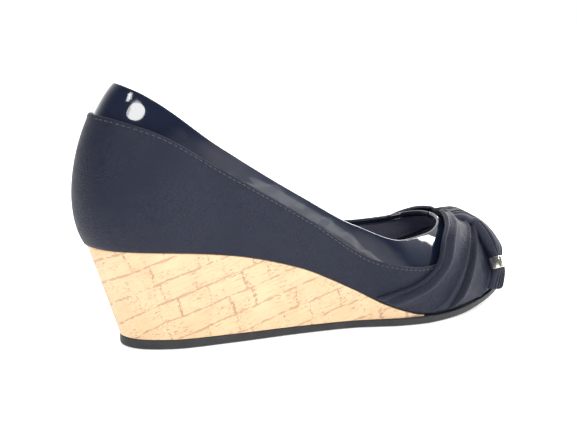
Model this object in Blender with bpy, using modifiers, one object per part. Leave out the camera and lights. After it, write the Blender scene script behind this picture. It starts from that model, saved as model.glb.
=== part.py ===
# Right-foot wedge pump: hollow lasted upper, patent collar, cork wedge, rubber sole and a draped toe.
# Sizes are in millimetres: x from the back of the heel to the toe, y negative on the lateral side,
# ground at z = 0. The meshes are in metres, and one empty carries them all, placed so that the origin
# is on the ground under the middle of the bounding box.

import bpy
import bmesh
import numpy as np

# Named sizes
LENGTH = 240.0
BALL_WIDTH = 70.0
HEEL_HEIGHT = 48.3
BACK_HEIGHT = 120.2
INSTEP_HEIGHT = 71.0
TOE_SPRING = 9.6
HEEL_RAKE = 16.5
WEDGE_TIP_X = 0.677 * LENGTH
HEEL_C = 0.117 * LENGTH
TOE_C = 0.883 * LENGTH
WALL = 1.5
COLLAR_WALL = 1.2
GAP = 0.3
SOLE_GAP = 0.35
MM = 0.001

# Finishes: colour, roughness, metallic
FINISHES = {
    "rubber_sole": ((0.025, 0.025, 0.028), 0.55, 0.0),
    "cork_wrap": ((0.80, 0.58, 0.34), 0.60, 0.0),
    "matte_leather": ((0.018, 0.022, 0.036), 0.55, 0.0),
    "patent_leather": ((0.008, 0.010, 0.018), 0.08, 0.0),
    "insole_lining": ((0.030, 0.030, 0.035), 0.70, 0.0),
    "keeper_metal": ((0.86, 0.80, 0.66), 0.18, 1.0),
}

# Plan of the feather edge: share of length, lateral and medial shares of ball width
OUTLINE = (
    (0.015, 0.000, 0.000),
    (0.035, -0.172, 0.172),
    (0.110, -0.315, 0.310),
    (0.250, -0.366, 0.320),
    (0.400, -0.383, 0.272),
    (0.530, -0.413, 0.354),
    (0.640, -0.490, 0.446),
    (0.740, -0.476, 0.476),
    (0.840, -0.382, 0.452),
    (0.920, -0.240, 0.370),
    (0.968, -0.085, 0.240),
    (0.985, 0.080, 0.080),
)

# Height of the feather edge: share of length, share of heel height
FEATHER = (
    (-0.04, 1.010),
    (0.000, 1.000),
    (0.125, 0.972),
    (0.250, 0.900),
    (0.396, 0.712),
    (0.521, 0.425),
    (0.590, 0.240),
    (0.645, 0.134),
    (0.665, 0.106),
    (0.695, 0.086),
    (0.720, 0.082),
    (0.770, 0.090),
    (0.900, 0.172),
    (1.000, 0.272),
)

# Height of the crown line: share of length, share of instep height
CROWN = (
    (0.000, 1.760),
    (0.117, 1.760),
    (0.250, 1.740),
    (0.417, 1.370),
    (0.583, 1.000),
    (0.687, 0.789),
    (0.786, 0.697),
    (0.854, 0.560),
    (0.884, 0.490),
)

# Height of the top edge: share of length, share of back height
TOPLINE = (
    (-0.021, 1.026),
    (0.033, 1.020),
    (0.092, 0.976),
    (0.250, 0.752),
    (0.417, 0.549),
    (0.530, 0.425),
    (0.645, 0.349),
    (0.720, 0.360),
    (0.795, 0.402),
)

# Height where the upper ends over the collar: share of length, share of back height
SEAM = (
    (-0.021, 0.879),
    (0.017, 0.879),
    (0.092, 0.842),
    (0.250, 0.668),
    (0.417, 0.472),
    (0.583, 0.270),
    (0.687, 0.233),
    (0.750, 0.242),
    (0.800, 0.286),
    (0.845, 0.440),
)

# Section curve: shares of length, then the bulge (mm), the share of the height that rises steeply
# and the share of the reach that runs flat at the crown
PROFILE_BULGE = ((0.0, 0.117, 0.25, 0.625, 0.81, 0.90, 1.0), (14.5, 12.0, 4.0, 3.0, 2.5, 2.0, 1.6))
PROFILE_RISE = ((0.0, 0.25, 0.625, 0.81, 0.883, 0.94, 1.0), (0.30, 0.35, 0.50, 0.60, 0.50, 0.28, 0.16))
PROFILE_TOP = ((0.0, 0.25, 0.417, 0.625, 0.883, 1.0), (0.80, 0.80, 0.75, 0.60, 0.58, 0.42))

# Swath folds: share of the way up the section, then the shares of length of the six fold lines
FOLDS = (
    (0.00, 0.562, 0.600, 0.679, 0.735, 0.833, 0.925),
    (0.10, 0.603, 0.638, 0.729, 0.772, 0.854, 0.929),
    (0.20, 0.652, 0.690, 0.760, 0.797, 0.868, 0.930),
    (0.35, 0.713, 0.744, 0.793, 0.822, 0.888, 0.930),
    (0.55, 0.748, 0.779, 0.829, 0.850, 0.902, 0.929),
    (0.75, 0.784, 0.814, 0.853, 0.872, 0.906, 0.926),
    (1.00, 0.806, 0.832, 0.864, 0.882, 0.908, 0.924),
)
SWATH_TOP = 0.88
SWATH_BASE = 1.3
SWATH_RISE = 1.7

# Run of the centre band on the lateral half of the last: share of length, share of the way up the section
RUN = (
    (0.818, 0.960),
    (0.864, 0.950),
    (0.893, 0.880),
    (0.908, 0.730),
    (0.907, 0.570),
    (0.899, 0.400),
    (0.892, 0.220),
    (0.886, 0.030),
)

# Centre band: share along its run, half width, thickness, lift off the drape, fold depth (mm),
# share of the drape's curve that the underside follows
BAND = (
    (0.00, 8.2, 2.2, 0.3, 0.3, 1.0),
    (0.05, 9.0, 2.8, 0.4, 0.6, 1.0),
    (0.15, 9.8, 3.2, 0.5, 0.9, 1.0),
    (0.30, 10.4, 4.0, 0.6, 1.1, 1.0),
    (0.47, 10.6, 5.4, 0.8, 1.2, 1.0),
    (0.59, 9.8, 6.0, 1.0, 1.0, 0.9),
    (0.67, 7.6, 5.4, 1.4, 0.8, 0.6),
    (0.71, 6.0, 4.2, 1.8, 0.5, 0.2),
    (0.735, 5.4, 3.8, 2.0, 0.4, 0.0),
    (0.86, 5.4, 3.8, 2.0, 0.4, 0.0),
    (0.90, 6.6, 3.8, 1.5, 0.7, 0.5),
    (1.00, 8.6, 3.8, 0.8, 0.9, 1.0),
)
KEEPER_AT = 0.79
KEEPER_LENGTH = 6.0
KEEPER_WALL = 1.0
KEEPER_ROOM = 0.65
HEM_RISE = 0.6

# Fullness of the gathered drape near the middle: share of length, extra thickness (mm)
FULLNESS = (
    (0.780, 0.0),
    (0.805, 0.0),
    (0.832, 1.3),
    (0.868, 2.2),
    (0.900, 1.0),
    (0.940, 0.0),
)


def smooth(rows, x):
    """Shape-keeping cubic through rows of (place, value)."""
    px = np.array([r[0] for r in rows], float)
    py = np.array([r[1] for r in rows], float)
    h = np.diff(px)
    d = np.diff(py) / h
    m = np.zeros(len(px))
    for i in range(1, len(px) - 1):
        if d[i - 1] * d[i] > 0:
            w1 = 2 * h[i] + h[i - 1]
            w2 = h[i] + 2 * h[i - 1]
            m[i] = (w1 + w2) / (w1 / d[i - 1] + w2 / d[i])
    m[0] = d[0]
    m[-1] = d[-1]
    x = np.clip(np.asarray(x, float), px[0], px[-1])
    k = np.clip(np.searchsorted(px, x) - 1, 0, len(h) - 1)
    s = (x - px[k]) / h[k]
    a = (1 + 2 * s) * (1 - s) ** 2 * py[k] + s * (1 - s) ** 2 * h[k] * m[k]
    b = s * s * (3 - 2 * s) * py[k + 1] + s * s * (s - 1) * h[k] * m[k + 1]
    return a + b


def feather_z(x):
    return smooth(FEATHER, np.asarray(x) / LENGTH) * HEEL_HEIGHT


def crown_z(x):
    return smooth(CROWN, np.asarray(x) / LENGTH) * INSTEP_HEIGHT


def top_z(x):
    return smooth(TOPLINE, np.asarray(x) / LENGTH) * BACK_HEIGHT


def seam_z(x):
    return smooth(SEAM, np.asarray(x) / LENGTH) * BACK_HEIGHT


def closed_curve(points, count):
    """Closed centripetal Catmull-Rom curve through the points."""
    n = len(points)
    out = []
    for i in range(n):
        p = [points[(i + j - 1) % n] for j in range(4)]
        t = [0.0]
        for j in range(3):
            t.append(t[-1] + max(np.linalg.norm(p[j + 1] - p[j]), 1e-9) ** 0.5)
        for u in np.linspace(t[1], t[2], count, endpoint=False):
            a1 = (t[1] - u) / (t[1] - t[0]) * p[0] + (u - t[0]) / (t[1] - t[0]) * p[1]
            a2 = (t[2] - u) / (t[2] - t[1]) * p[1] + (u - t[1]) / (t[2] - t[1]) * p[2]
            a3 = (t[3] - u) / (t[3] - t[2]) * p[2] + (u - t[2]) / (t[3] - t[2]) * p[3]
            b1 = (t[2] - u) / (t[2] - t[0]) * a1 + (u - t[0]) / (t[2] - t[0]) * a2
            b2 = (t[3] - u) / (t[3] - t[1]) * a2 + (u - t[1]) / (t[3] - t[1]) * a3
            out.append((t[2] - u) / (t[2] - t[1]) * b1 + (u - t[1]) / (t[2] - t[1]) * b2)
    return np.array(out)


def plan_points():
    lateral = [np.array((r[0] * LENGTH, r[1] * BALL_WIDTH)) for r in OUTLINE]
    medial = [np.array((r[0] * LENGTH, r[2] * BALL_WIDTH)) for r in OUTLINE[1:-1]]
    return lateral + medial[::-1]


PLAN = closed_curve(plan_points(), 48)
HEEL_END = int(np.argmin(PLAN[:, 0]))
PLAN = np.roll(PLAN, -HEEL_END, axis=0)
TOE_END = int(np.argmax(PLAN[:, 0]))
LATERAL = PLAN[:TOE_END + 1]
MEDIAL = np.concatenate([PLAN[TOE_END:], PLAN[:1]])[::-1]
BACK_X = float(LATERAL[0, 0])
FRONT_X = float(LATERAL[-1, 0])


def plan_y(x, side):
    """y of the feather edge at x; side -1 lateral, 1 medial."""
    branch = LATERAL if side < 0 else MEDIAL
    return np.interp(x, branch[:, 0], branch[:, 1])


INSIDE = (0.25 * LENGTH, 0.0, 0.5 * BACK_HEIGHT)


def along(x, places, values):
    """Value at x from straight rows given at shares of the length."""
    return np.interp(np.asarray(x, float) / LENGTH, places, values)


def crown_y(x):
    return along(x, (0.117, 0.40, 0.625, 0.883), (0, -0.043, 0, 0.043)) * BALL_WIDTH


def last(x, side, t):
    """Point of the last: x of the feather edge, side, share t of the way up to the crown line."""
    x = np.asarray(x, float)
    t = np.asarray(t, float)
    y = plan_y(x, side)
    cx = np.clip(x, HEEL_C, TOE_C)
    cy = crown_y(cx)
    zf = feather_z(x)
    zc = crown_z(cx)
    ox = x - cx
    oy = y - cy
    reach = np.sqrt(ox * ox + oy * oy)
    ox = ox / reach
    oy = oy / reach
    bulge = along(x, *PROFILE_BULGE)
    rise = (zc - zf) * along(x, *PROFILE_RISE)
    top = reach * along(x, *PROFILE_TOP)
    fall = 0.75 * top * np.where(x > TOE_C, ox, 0)
    a = (1 - t) ** 3
    b = 3 * (1 - t) ** 2 * t
    c = 3 * (1 - t) * t * t
    d = t ** 3
    px = a * x + b * (x + ox * bulge) + c * (cx + ox * top) + d * cx
    py = a * y + b * (y + oy * bulge) + c * (cy + oy * top) + d * cy
    pz = a * zf + b * (zf + rise) + c * (zc - fall) + d * zc
    return np.stack([px, py, pz], -1)


def last_normal(x, side, t):
    """Outward unit normal of the last at the same place."""
    x = np.clip(np.asarray(x, float), BACK_X + 0.02, FRONT_X - 0.02)
    t = np.clip(np.asarray(t, float), 0.002, 0.985)
    e = 0.01
    du = last(x + e, side, t) - last(x - e, side, t)
    dt = last(x, side, t + 0.002) - last(x, side, t - 0.002)
    n = np.cross(du, dt) * (-side)
    n = n / np.linalg.norm(n, axis=-1, keepdims=True)
    return n


def offset(x, side, t, by):
    p = last(x, side, t)
    n = last_normal(x, side, t)
    tip = (np.asarray(x) <= BACK_X + 0.03) | (np.asarray(x) >= FRONT_X - 0.03)
    n = np.where(tip[..., None], n * np.array((1.0, 0.0, 1.0)), n)
    n = n / np.linalg.norm(n, axis=-1, keepdims=True)
    return p + n * np.asarray(by)[..., None]


def crossing(x, side, level):
    """Share t where the section at x first reaches the level curve, or 1."""
    t = np.linspace(0, 1, 401)
    p = last(np.full(401, float(x)), side, t)
    g = p[:, 2] - level(p[:, 0])
    k = np.nonzero((g[:-1] < 0) & (g[1:] >= 0))[0]
    if len(k) == 0:
        return 1.0
    k = int(k[0])
    return float(t[k] + (t[k + 1] - t[k]) * (-g[k]) / (g[k + 1] - g[k]))


def front_of(side_level):
    """x on the crown line where a level curve meets it."""
    x = np.linspace(0.70, 0.882, 821) * LENGTH
    g = crown_z(x) - side_level(x)
    k = np.nonzero((g[:-1] > 0) & (g[1:] <= 0))[0]
    k = int(k[0])
    return float(x[k] + (x[k + 1] - x[k]) * g[k] / (g[k] - g[k + 1]))


# Mesh helpers
def finish_material(name):
    """The named finish as a material, made once."""
    mat = bpy.data.materials.get(name)
    if mat is None:
        colour, rough, metal = FINISHES[name]
        mat = bpy.data.materials.new(name)
        mat.use_nodes = True
        shader = mat.node_tree.nodes["Principled BSDF"]
        shader.inputs["Base Color"].default_value = (*colour, 1.0)
        shader.inputs["Roughness"].default_value = rough
        shader.inputs["Metallic"].default_value = metal
    return mat


def add_object(name, finish, verts, faces):
    """A mesh object in the shoe's collection, with its finish; points in millimetres."""
    mesh = bpy.data.meshes.new(name)
    mesh.from_pydata([tuple(p) for p in np.asarray(verts, float) * MM], [], faces)
    mesh.materials.append(finish_material(finish))
    obj = bpy.data.objects.new(name, mesh)
    bpy.data.collections["wedge_pump"].objects.link(obj)
    obj.parent = bpy.data.objects["wedge_pump_origin"]
    bm = bmesh.new()
    bm.from_mesh(mesh)
    bmesh.ops.remove_doubles(bm, verts=bm.verts[:], dist=0.00002)
    bmesh.ops.dissolve_degenerate(bm, edges=bm.edges[:], dist=0.00001)
    bmesh.ops.recalc_face_normals(bm, faces=bm.faces[:])
    bm.to_mesh(mesh)
    bm.free()
    for poly in mesh.polygons:
        poly.use_smooth = True
    return obj


def face_out(obj, inside):
    """Turn the faces of an open sheet away from a point inside the shoe, in millimetres."""
    mesh = obj.data
    hint = np.array(inside) * MM
    total = 0.0
    for poly in mesh.polygons:
        total += float(np.dot(np.array(poly.normal), np.array(poly.center) - hint)) * poly.area
    if total < 0:
        mesh.flip_normals()


def solidify(obj, wall):
    mod = obj.modifiers.new("wall", "SOLIDIFY")
    mod.thickness = wall * MM
    mod.offset = -1.0
    mod.use_even_offset = True
    mod.use_rim = True


def grid_faces(rows, cols, base=0, closed=False):
    faces = []
    for i in range(rows if closed else rows - 1):
        for j in range(cols - 1):
            a = base + i * cols + j
            b = base + ((i + 1) % rows) * cols + j
            faces.append((a, b, b + 1, a + 1))
    return faces


def solid_from_sheets(name, finish, outer, inner):
    """Closed body between two grids of the same size."""
    rows, cols = outer.shape[:2]
    n = rows * cols
    verts = np.concatenate([outer.reshape(-1, 3), inner.reshape(-1, 3)])
    faces = grid_faces(rows, cols)
    faces += [tuple(reversed(f)) for f in grid_faces(rows, cols, n)]
    for i in range(rows - 1):
        for j in (0, cols - 1):
            a = i * cols + j
            b = a + cols
            faces.append((a, b, b + n, a + n))
    for j in range(cols - 1):
        for i in (0, rows - 1):
            a = i * cols + j
            faces.append((a, a + 1, a + 1 + n, a + n))
    return add_object(name, finish, verts, faces)


def stations(count, marks):
    """x stations over the whole plan, closer at the tips and round the marks."""
    u = np.linspace(0, 1, count)
    x = BACK_X + (FRONT_X - BACK_X) * (1 - np.cos(np.pi * u)) / 2
    extra = []
    for m in marks:
        extra += [m - 5.0, m - 2.2, m - 0.8, m - 0.2, m + 1.5]
    x = np.array([v for v in x if all(v < m - 7.5 or v > m + 3.5 for m in marks)])
    return np.sort(np.concatenate([x, np.array(extra)]))


SEAM_FRONT = front_of(seam_z)
STATIONS = stations(44, (SEAM_FRONT,))


# Upper: one hollow lasted shell, open at the top and underneath
def make_upper():
    seam_front = SEAM_FRONT
    xs = STATIONS
    cols = 9
    ts = np.linspace(0, 1, cols)
    verts = []
    faces = []
    for side in (-1, 1):
        base = len(verts)
        for x in xs:
            end = crossing(x, side, seam_z) if x < seam_front else 1.0
            verts += list(last(np.full(cols, x), side, ts * end))
        faces += [f if side < 0 else tuple(reversed(f)) for f in grid_faces(len(xs), cols, base)]
    obj = add_object("upper", "matte_leather", verts, faces)
    face_out(obj, INSIDE)
    solidify(obj, WALL)
    return obj


def collar_half(side, count, cols, slip):
    """Grid over one half of the collar between the top edge and the tucked lower edge."""
    top_front = front_of(top_z)
    low_front = front_of(seam_z) + slip
    u = np.linspace(0, 1, count)
    ease = np.sin(0.5 * np.pi * u) ** 1.15
    x_top = BACK_X + (top_front - BACK_X) * (0.5 * (1 - np.cos(np.pi * u)) * (1 - u) + ease * u)
    x_low = BACK_X + (low_front - BACK_X) * (0.5 * (1 - np.cos(np.pi * u)) * (1 - u) + ease * u)
    x_top[-1] = top_front
    x_low[-1] = low_front

    def low_level(x):
        return seam_z(np.asarray(x) - along(x, (0.625, 0.833), (0, slip))) - slip * 0.9

    rows = []
    for i in range(count):
        t_top = 1.0 if i == count - 1 else crossing(x_top[i], side, top_z)
        t_low = 1.0 if i == count - 1 else crossing(x_low[i], side, low_level)
        v = np.linspace(0, 1, cols)
        x = x_low[i] + (x_top[i] - x_low[i]) * v
        t = t_low + (t_top - t_low) * v
        under = WALL + GAP + along(x, (0.687, 0.771), (0, 0.6))
        rows.append(offset(x, side, t, -under))
    return np.array(rows)


def make_collar():
    count = 34
    cols = 6
    lateral = collar_half(-1, count, cols, 6.0)
    medial = collar_half(1, count, cols, 6.0)
    loop = np.concatenate([lateral, medial[-2:0:-1]])
    rows = len(loop)
    obj = add_object("collar", "patent_leather", loop.reshape(-1, 3), grid_faces(rows, cols, 0, True))
    face_out(obj, INSIDE)
    solidify(obj, COLLAR_WALL)
    return obj


# Sole pieces: rings of plan points stacked into closed bodies
def ring(xs, out_by, z_of, shrink=None, shift=None):
    """Closed ring of points at the stations, lateral side first; z from x."""
    lateral = []
    medial = []
    for x in xs:
        for side, store in ((-1, lateral), (1, medial)):
            e = 0.05
            xa = np.clip(x - e, BACK_X, FRONT_X)
            xb = np.clip(x + e, BACK_X, FRONT_X)
            ya = float(plan_y(xa, side))
            yb = float(plan_y(xb, side))
            n = np.array((yb - ya, -(xb - xa))) * (-side)
            if x <= BACK_X + 1e-6:
                n = np.array((-1.0, 0.0))
            if x >= FRONT_X - 1e-6:
                n = np.array((1.0, 0.0))
            n = n / np.linalg.norm(n)
            p = np.array((x, float(plan_y(x, side)))) + n * out_by(x)
            if shrink is not None:
                p = np.array((p[0] + shift(x), p[1] * shrink(x)))
            store.append(p)
    pts = lateral + medial[-2:0:-1]
    pts = np.array(pts)
    z = z_of(pts[:, 0])
    return np.column_stack([pts, z])


def stack(name, finish, rings):
    """Closed body from rings with ladder caps at the bottom and the top."""
    n = len(rings[0])
    half = n // 2
    verts = np.concatenate(rings)
    faces = []
    for k in range(len(rings) - 1):
        for i in range(n):
            a = k * n + i
            b = k * n + (i + 1) % n
            faces.append((a, b, b + n, a + n))
    for k in (0, len(rings) - 1):
        for i in range(half):
            a = k * n + i
            b = k * n + i + 1
            c = k * n + (n - i - 1) % n
            d = k * n + (n - i) % n
            quad = [a, b, c, d]
            clean = []
            for q in quad:
                if q not in clean:
                    clean.append(q)
            if len(clean) >= 3:
                faces.append(tuple(clean) if k else tuple(reversed(clean)))
    return add_object(name, finish, verts, faces)


def sole_bottom(x):
    rows = ((0.0, 0.0), (0.700, 0.0), (0.771, 0.05), (0.854, 0.30), (0.9375, 0.66), (1.0, 1.0))
    return smooth(rows, np.clip(x, 0, LENGTH) / LENGTH) * TOE_SPRING


def sole_thick(x):
    return along(x, (0, 0.417, 0.833), (5.0, 4.0, 3.6))


def sole_shrink(x):
    return 1 - 0.254 * along(x, (0, 0.417, 0.625, 0.687), (1, 0.6, 0.1, 0))


def sole_shift(x):
    return HEEL_RAKE * along(x, (0, 0.25, 0.458), (1, 0.4, 0))


def sole_out(x):
    return along(x, (0.521, 0.687), (0.0, 1.8))


def sole_top(x):
    under = sole_bottom(x) + sole_thick(x)
    ahead = feather_z(x) - SOLE_GAP
    return np.where(x < WEDGE_TIP_X + 0.5, under, ahead)


def make_outsole():
    xs = STATIONS
    xs = np.sort(np.append(xs[np.abs(xs - WEDGE_TIP_X) > 2.0], (WEDGE_TIP_X + 0.3, WEDGE_TIP_X + 0.9)))

    def r(inset, z_of):
        return ring(xs, lambda x: sole_out(x) - inset, z_of, sole_shrink, sole_shift)

    rings = [
        r(1.3, sole_bottom),
        r(0.35, lambda x: sole_bottom(x) + 0.45),
        r(0.0, lambda x: sole_bottom(x) + 1.3),
        r(0.0, lambda x: sole_top(x) - 0.3),
        r(0.3, sole_top),
    ]
    return stack("outsole", "rubber_sole", rings)


def make_wedge():
    xs = STATIONS
    xs = np.append(xs[xs < WEDGE_TIP_X - 2.0], WEDGE_TIP_X)
    rings = []
    steps = (0.0, 0.33, 0.66, 1.0)
    low_l = []
    for side in (-1, 1):
        low = []
        top = []
        for x in xs:
            y = float(plan_y(x, side))
            gx = x + float(sole_shift(x))
            gy = y * float(sole_shrink(x))
            low.append((gx, gy))
            tuck = float(along(x, (0, 0.1), (1.3, 0.3)))
            back = float(along(x, (0.04, 0.06), (1, 0)))
            top.append((x + tuck * back, y * (1 - 0.02 * tuck)))
        low_l.append((np.array(low), np.array(top)))
    for s in steps:
        pts = []
        for k, (low, top) in enumerate(low_l):
            plan = low + (top - low) * s
            zl = sole_bottom(low[:, 0]) + sole_thick(low[:, 0]) + 0.2
            zt = feather_z(top[:, 0]) - SOLE_GAP
            z = zl + (zt - zl) * s
            pts.append(np.column_stack([plan, z]))
        lat, med = pts
        rings.append(np.concatenate([lat, med[:0:-1]]))
    n = len(rings[0])
    half = len(xs)
    verts = np.concatenate(rings)
    faces = []
    for k in range(len(rings) - 1):
        for i in range(n):
            a = k * n + i
            b = k * n + (i + 1) % n
            faces.append((a, b, b + n, a + n))
    for k in (0, len(rings) - 1):
        for i in range(half - 1):
            a = k * n + i
            b = a + 1
            c = k * n + n - i - 1
            d = k * n + (n - i) % n
            clean = []
            for q in (a, b, c, d):
                if q not in clean:
                    clean.append(q)
            faces.append(tuple(clean) if k else tuple(reversed(clean)))
    return add_object("wedge", "cork_wrap", verts, faces)


def make_insole():
    xs = STATIONS

    def inset(x):
        return -(WALL + 0.5 + along(x, (0.79, 0.94), (0.0, 1.2)))

    def r(more, up):
        return ring(xs, lambda x: inset(x) - more, lambda x: feather_z(x) + up)

    return stack("insole", "insole_lining", [r(0.0, 0.0), r(0.0, 1.7), r(0.5, 2.4)])


# Swaths: pleated leather from the sole edge up to the middle
def fold_height(column):
    """Height share over one panel: low after a fold line, rising to the next one."""
    return column ** 1.8


def fullness(x, t):
    """Extra thickness of the drape where it is gathered under the band."""
    rise = np.clip((np.asarray(t) - 0.38) / 0.38, 0, 1)
    return smooth(FULLNESS, np.asarray(x) / LENGTH) * rise * rise * (3 - 2 * rise)


def make_swath(name, side):
    shares = (0.0, 0.12, 0.45, 0.75, 0.93, 1.0)
    vs = np.linspace(0.012, 1.0, 15)
    lines = []
    for j in range(6):
        rows = tuple((r[0], r[j + 1]) for r in FOLDS)
        lines.append(smooth(rows, vs) * LENGTH)
    columns = []
    heights = []
    for j in range(5):
        for s in shares[:-1]:
            columns.append(lines[j] + (lines[j + 1] - lines[j]) * s)
            if s == 0.0:
                heights.append(1.0 if j else 0.55)
            else:
                heights.append(0.12 + 0.88 * fold_height(s) if s > 0.2 else 0.15)
    columns.append(lines[5])
    heights.append(0.2)
    fade = np.interp(vs, (0, 0.15, 0.75, 1.0), (0.45, 1.0, 1.0, 0.45))
    outer = []
    inner = []
    for x, h in zip(columns, heights):
        t = vs * SWATH_TOP
        inner.append(offset(x, side, t, np.full(len(vs), GAP)))
        outer.append(offset(x, side, t, GAP + SWATH_BASE + SWATH_RISE * h * fade + fullness(x, t)))
    return solid_from_sheets(name, "matte_leather", np.array(outer), np.array(inner))


# Centre band over the middle of the toe, pinched by the keeper
def band_frame(s):
    """Points of the band's run with its direction, the direction across it and the one up from it."""
    k = np.linspace(0, len(RUN) - 1, 141)
    x = smooth([(i, r[0]) for i, r in enumerate(RUN)], k) * LENGTH
    t = smooth([(i, r[1]) for i, r in enumerate(RUN)], k)
    path = last(x, -1, t)
    nor = last_normal(x, -1, t)
    d = np.concatenate([[0], np.cumsum(np.linalg.norm(np.diff(path, axis=0), axis=1))])

    def at(values, share):
        return np.column_stack([np.interp(share, d / d[-1], values[:, j]) for j in range(3)])

    tan = at(path, np.clip(s + 0.06, 0, 1)) - at(path, np.clip(s - 0.06, 0, 1))
    tan = tan / np.linalg.norm(tan, axis=1, keepdims=True)
    across = np.cross(at(nor, s), tan)
    across = across / np.linalg.norm(across, axis=1, keepdims=True)
    return at(path, s), tan, across, np.cross(tan, across)


def drape_envelope():
    """Points a little outside the drape, round the toe, with the directions they face."""
    u = np.linspace(0, 1, 150)
    x = front_of(top_z) - 8 + (FRONT_X - 0.05 - front_of(top_z) + 8) * np.sin(0.5 * np.pi * u)
    t = np.linspace(0.02, 1.0, 110)
    gx, gt = np.meshgrid(x, t)
    by = 2 * GAP + SWATH_BASE + SWATH_RISE + fullness(gx.ravel(), gt.ravel())
    points = np.concatenate([offset(gx.ravel(), side, gt.ravel(), by) for side in (-1, 1)])
    facing = np.concatenate([last_normal(gx.ravel(), side, gt.ravel()) for side in (-1, 1)])
    return points, facing


def height_along(envelope, start, way):
    """Distance from start to the envelope, along a unit direction."""
    points, facing = envelope
    d = points[facing @ way > 0.2] - start
    h = d @ way
    off = np.sum(d * d, axis=1) - h * h
    near = np.argpartition(off, 6)[:6]
    weight = 1 / (off[near] + 0.01)
    return float(np.sum(h[near] * weight) / np.sum(weight))


def band_seats(s):
    """For each place along the band: its middle on the drape, its side and up directions, and its rows."""
    envelope = drape_envelope()
    p, tan, across, nor = band_frame(s)
    rows = np.array([smooth([(r[0], r[k]) for r in BAND], s) for k in range(1, 6)]).T
    seats = []
    for i in range(len(s)):
        half = rows[i, 0]
        y = np.linspace(-0.8, 0.8, 5) * half
        h = [height_along(envelope, p[i] + across[i] * v, nor[i]) for v in y]
        slope, level = np.polyfit(y, h, 1)
        lean = np.arctan(slope)
        middle = p[i] + nor[i] * level
        side = across[i] * np.cos(lean) + nor[i] * np.sin(lean)
        up = nor[i] * np.cos(lean) - across[i] * np.sin(lean)
        y = np.linspace(-1, 1, 15) * half
        h = np.array([height_along(envelope, middle + side * v, up) for v in y])
        curve = np.polyfit(y, h, 4)
        curve[-1] += np.max(h - np.polyval(curve, y))
        flat = np.max(np.polyval(curve, y))
        seats.append((middle, side, up, tan[i], curve, flat, rows[i]))
    return seats


def band_sections(count_s, count_top, count_low):
    s = np.sort(np.concatenate([np.linspace(0, 1, count_s), (KEEPER_AT - 0.05, KEEPER_AT, KEEPER_AT + 0.05)]))
    rings = []
    for middle, side, up, tan, curve, flat, row in band_seats(s):
        half, thick, lift, depth, follow = row

        def under(y):
            return lift + flat + (np.polyval(curve, y) - flat) * follow

        u = -np.cos(np.linspace(0, np.pi, count_top))
        dome = (1 - np.abs(u) ** 3.2) ** 0.6
        folds = depth * (0.5 - 0.5 * np.cos(2 * np.pi * 3.5 * (u + 1) / 2)) * np.sqrt(1 - u * u)
        height = under(u * half) + np.maximum(thick * dome - folds, 0.8)
        top = middle + side * (u * half)[:, None] + up * height[:, None]
        y = np.linspace(1, -1, count_low) * half
        low = middle + side * y[:, None] + up * under(y)[:, None]
        rings.append(np.concatenate([top, low]))
    rings = np.array(rings)
    hem = feather_z(np.clip(rings[..., 0], 0, LENGTH)) + HEM_RISE
    rings[..., 2] = np.maximum(rings[..., 2], hem)
    return rings


def make_band():
    rings = band_sections(20, 15, 7)
    rows, n = rings.shape[:2]
    verts = rings.reshape(-1, 3)
    faces = []
    for i in range(rows - 1):
        for j in range(n):
            a = i * n + j
            b = i * n + (j + 1) % n
            faces.append((a, b, b + n, a + n))
    faces.append(tuple(range(n)))
    faces.append(tuple((rows - 1) * n + j for j in reversed(range(n))))
    return add_object("knot_band", "matte_leather", verts, faces)


def make_keeper():
    middle, side, up, tan, curve, flat, row = band_seats(np.array((KEEPER_AT,)))[0]
    half, thick, lift = row[:3]
    w = half + KEEPER_ROOM
    low = flat + lift - KEEPER_ROOM
    high = flat + lift + thick + KEEPER_ROOM
    corner = 1.0

    def loop(grow):
        pts = []
        r = corner + grow
        for cy, cz, a0 in ((w - corner, high - corner, 0), (-w + corner, high - corner, 90),
                           (-w + corner, low + corner, 180), (w - corner, low + corner, 270)):
            for k in range(5):
                a = np.radians(a0 + 22.5 * k)
                pts.append((cy + r * np.cos(a), cz + r * np.sin(a)))
        return pts

    verts = []
    n = 20
    for place in (-0.5, 0.5):
        for grow in (0.0, KEEPER_WALL):
            for y, z in loop(grow):
                verts.append(middle + tan * place * KEEPER_LENGTH + up * z + side * y)
    faces = []
    for j in range(n):
        k = (j + 1) % n
        faces.append((j, k, n + k, n + j))
        faces.append((2 * n + k, 2 * n + j, 3 * n + j, 3 * n + k))
        faces.append((k, j, 2 * n + j, 2 * n + k))
        faces.append((n + j, n + k, 3 * n + k, 3 * n + j))
    return add_object("keeper", "keeper_metal", verts, faces)


def place_origin(origin, parts):
    """Move the empty so that the middle of the bounding box stands over the world's origin."""
    bpy.context.view_layer.update()
    depsgraph = bpy.context.evaluated_depsgraph_get()
    corners = np.concatenate([np.array(obj.evaluated_get(depsgraph).bound_box) for obj in parts])
    middle = (corners.min(axis=0) + corners.max(axis=0)) / 2
    origin.location = (-middle[0], -middle[1], 0.0)


def main():
    for obj in list(bpy.data.objects):
        bpy.data.objects.remove(obj, do_unlink=True)
    group = bpy.data.collections.new("wedge_pump")
    bpy.context.scene.collection.children.link(group)
    origin = bpy.data.objects.new("wedge_pump_origin", None)
    group.objects.link(origin)
    parts = [
        make_outsole(),
        make_wedge(),
        make_upper(),
        make_collar(),
        make_insole(),
        make_swath("drape_lateral", -1),
        make_swath("drape_medial", 1),
        make_band(),
        make_keeper(),
    ]
    place_origin(origin, parts)


main()
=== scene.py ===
# Right-foot wedge pump: looks, light and camera
import math

import bpy
import bmesh
import numpy as np
from mathutils import Matrix, Vector


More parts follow.
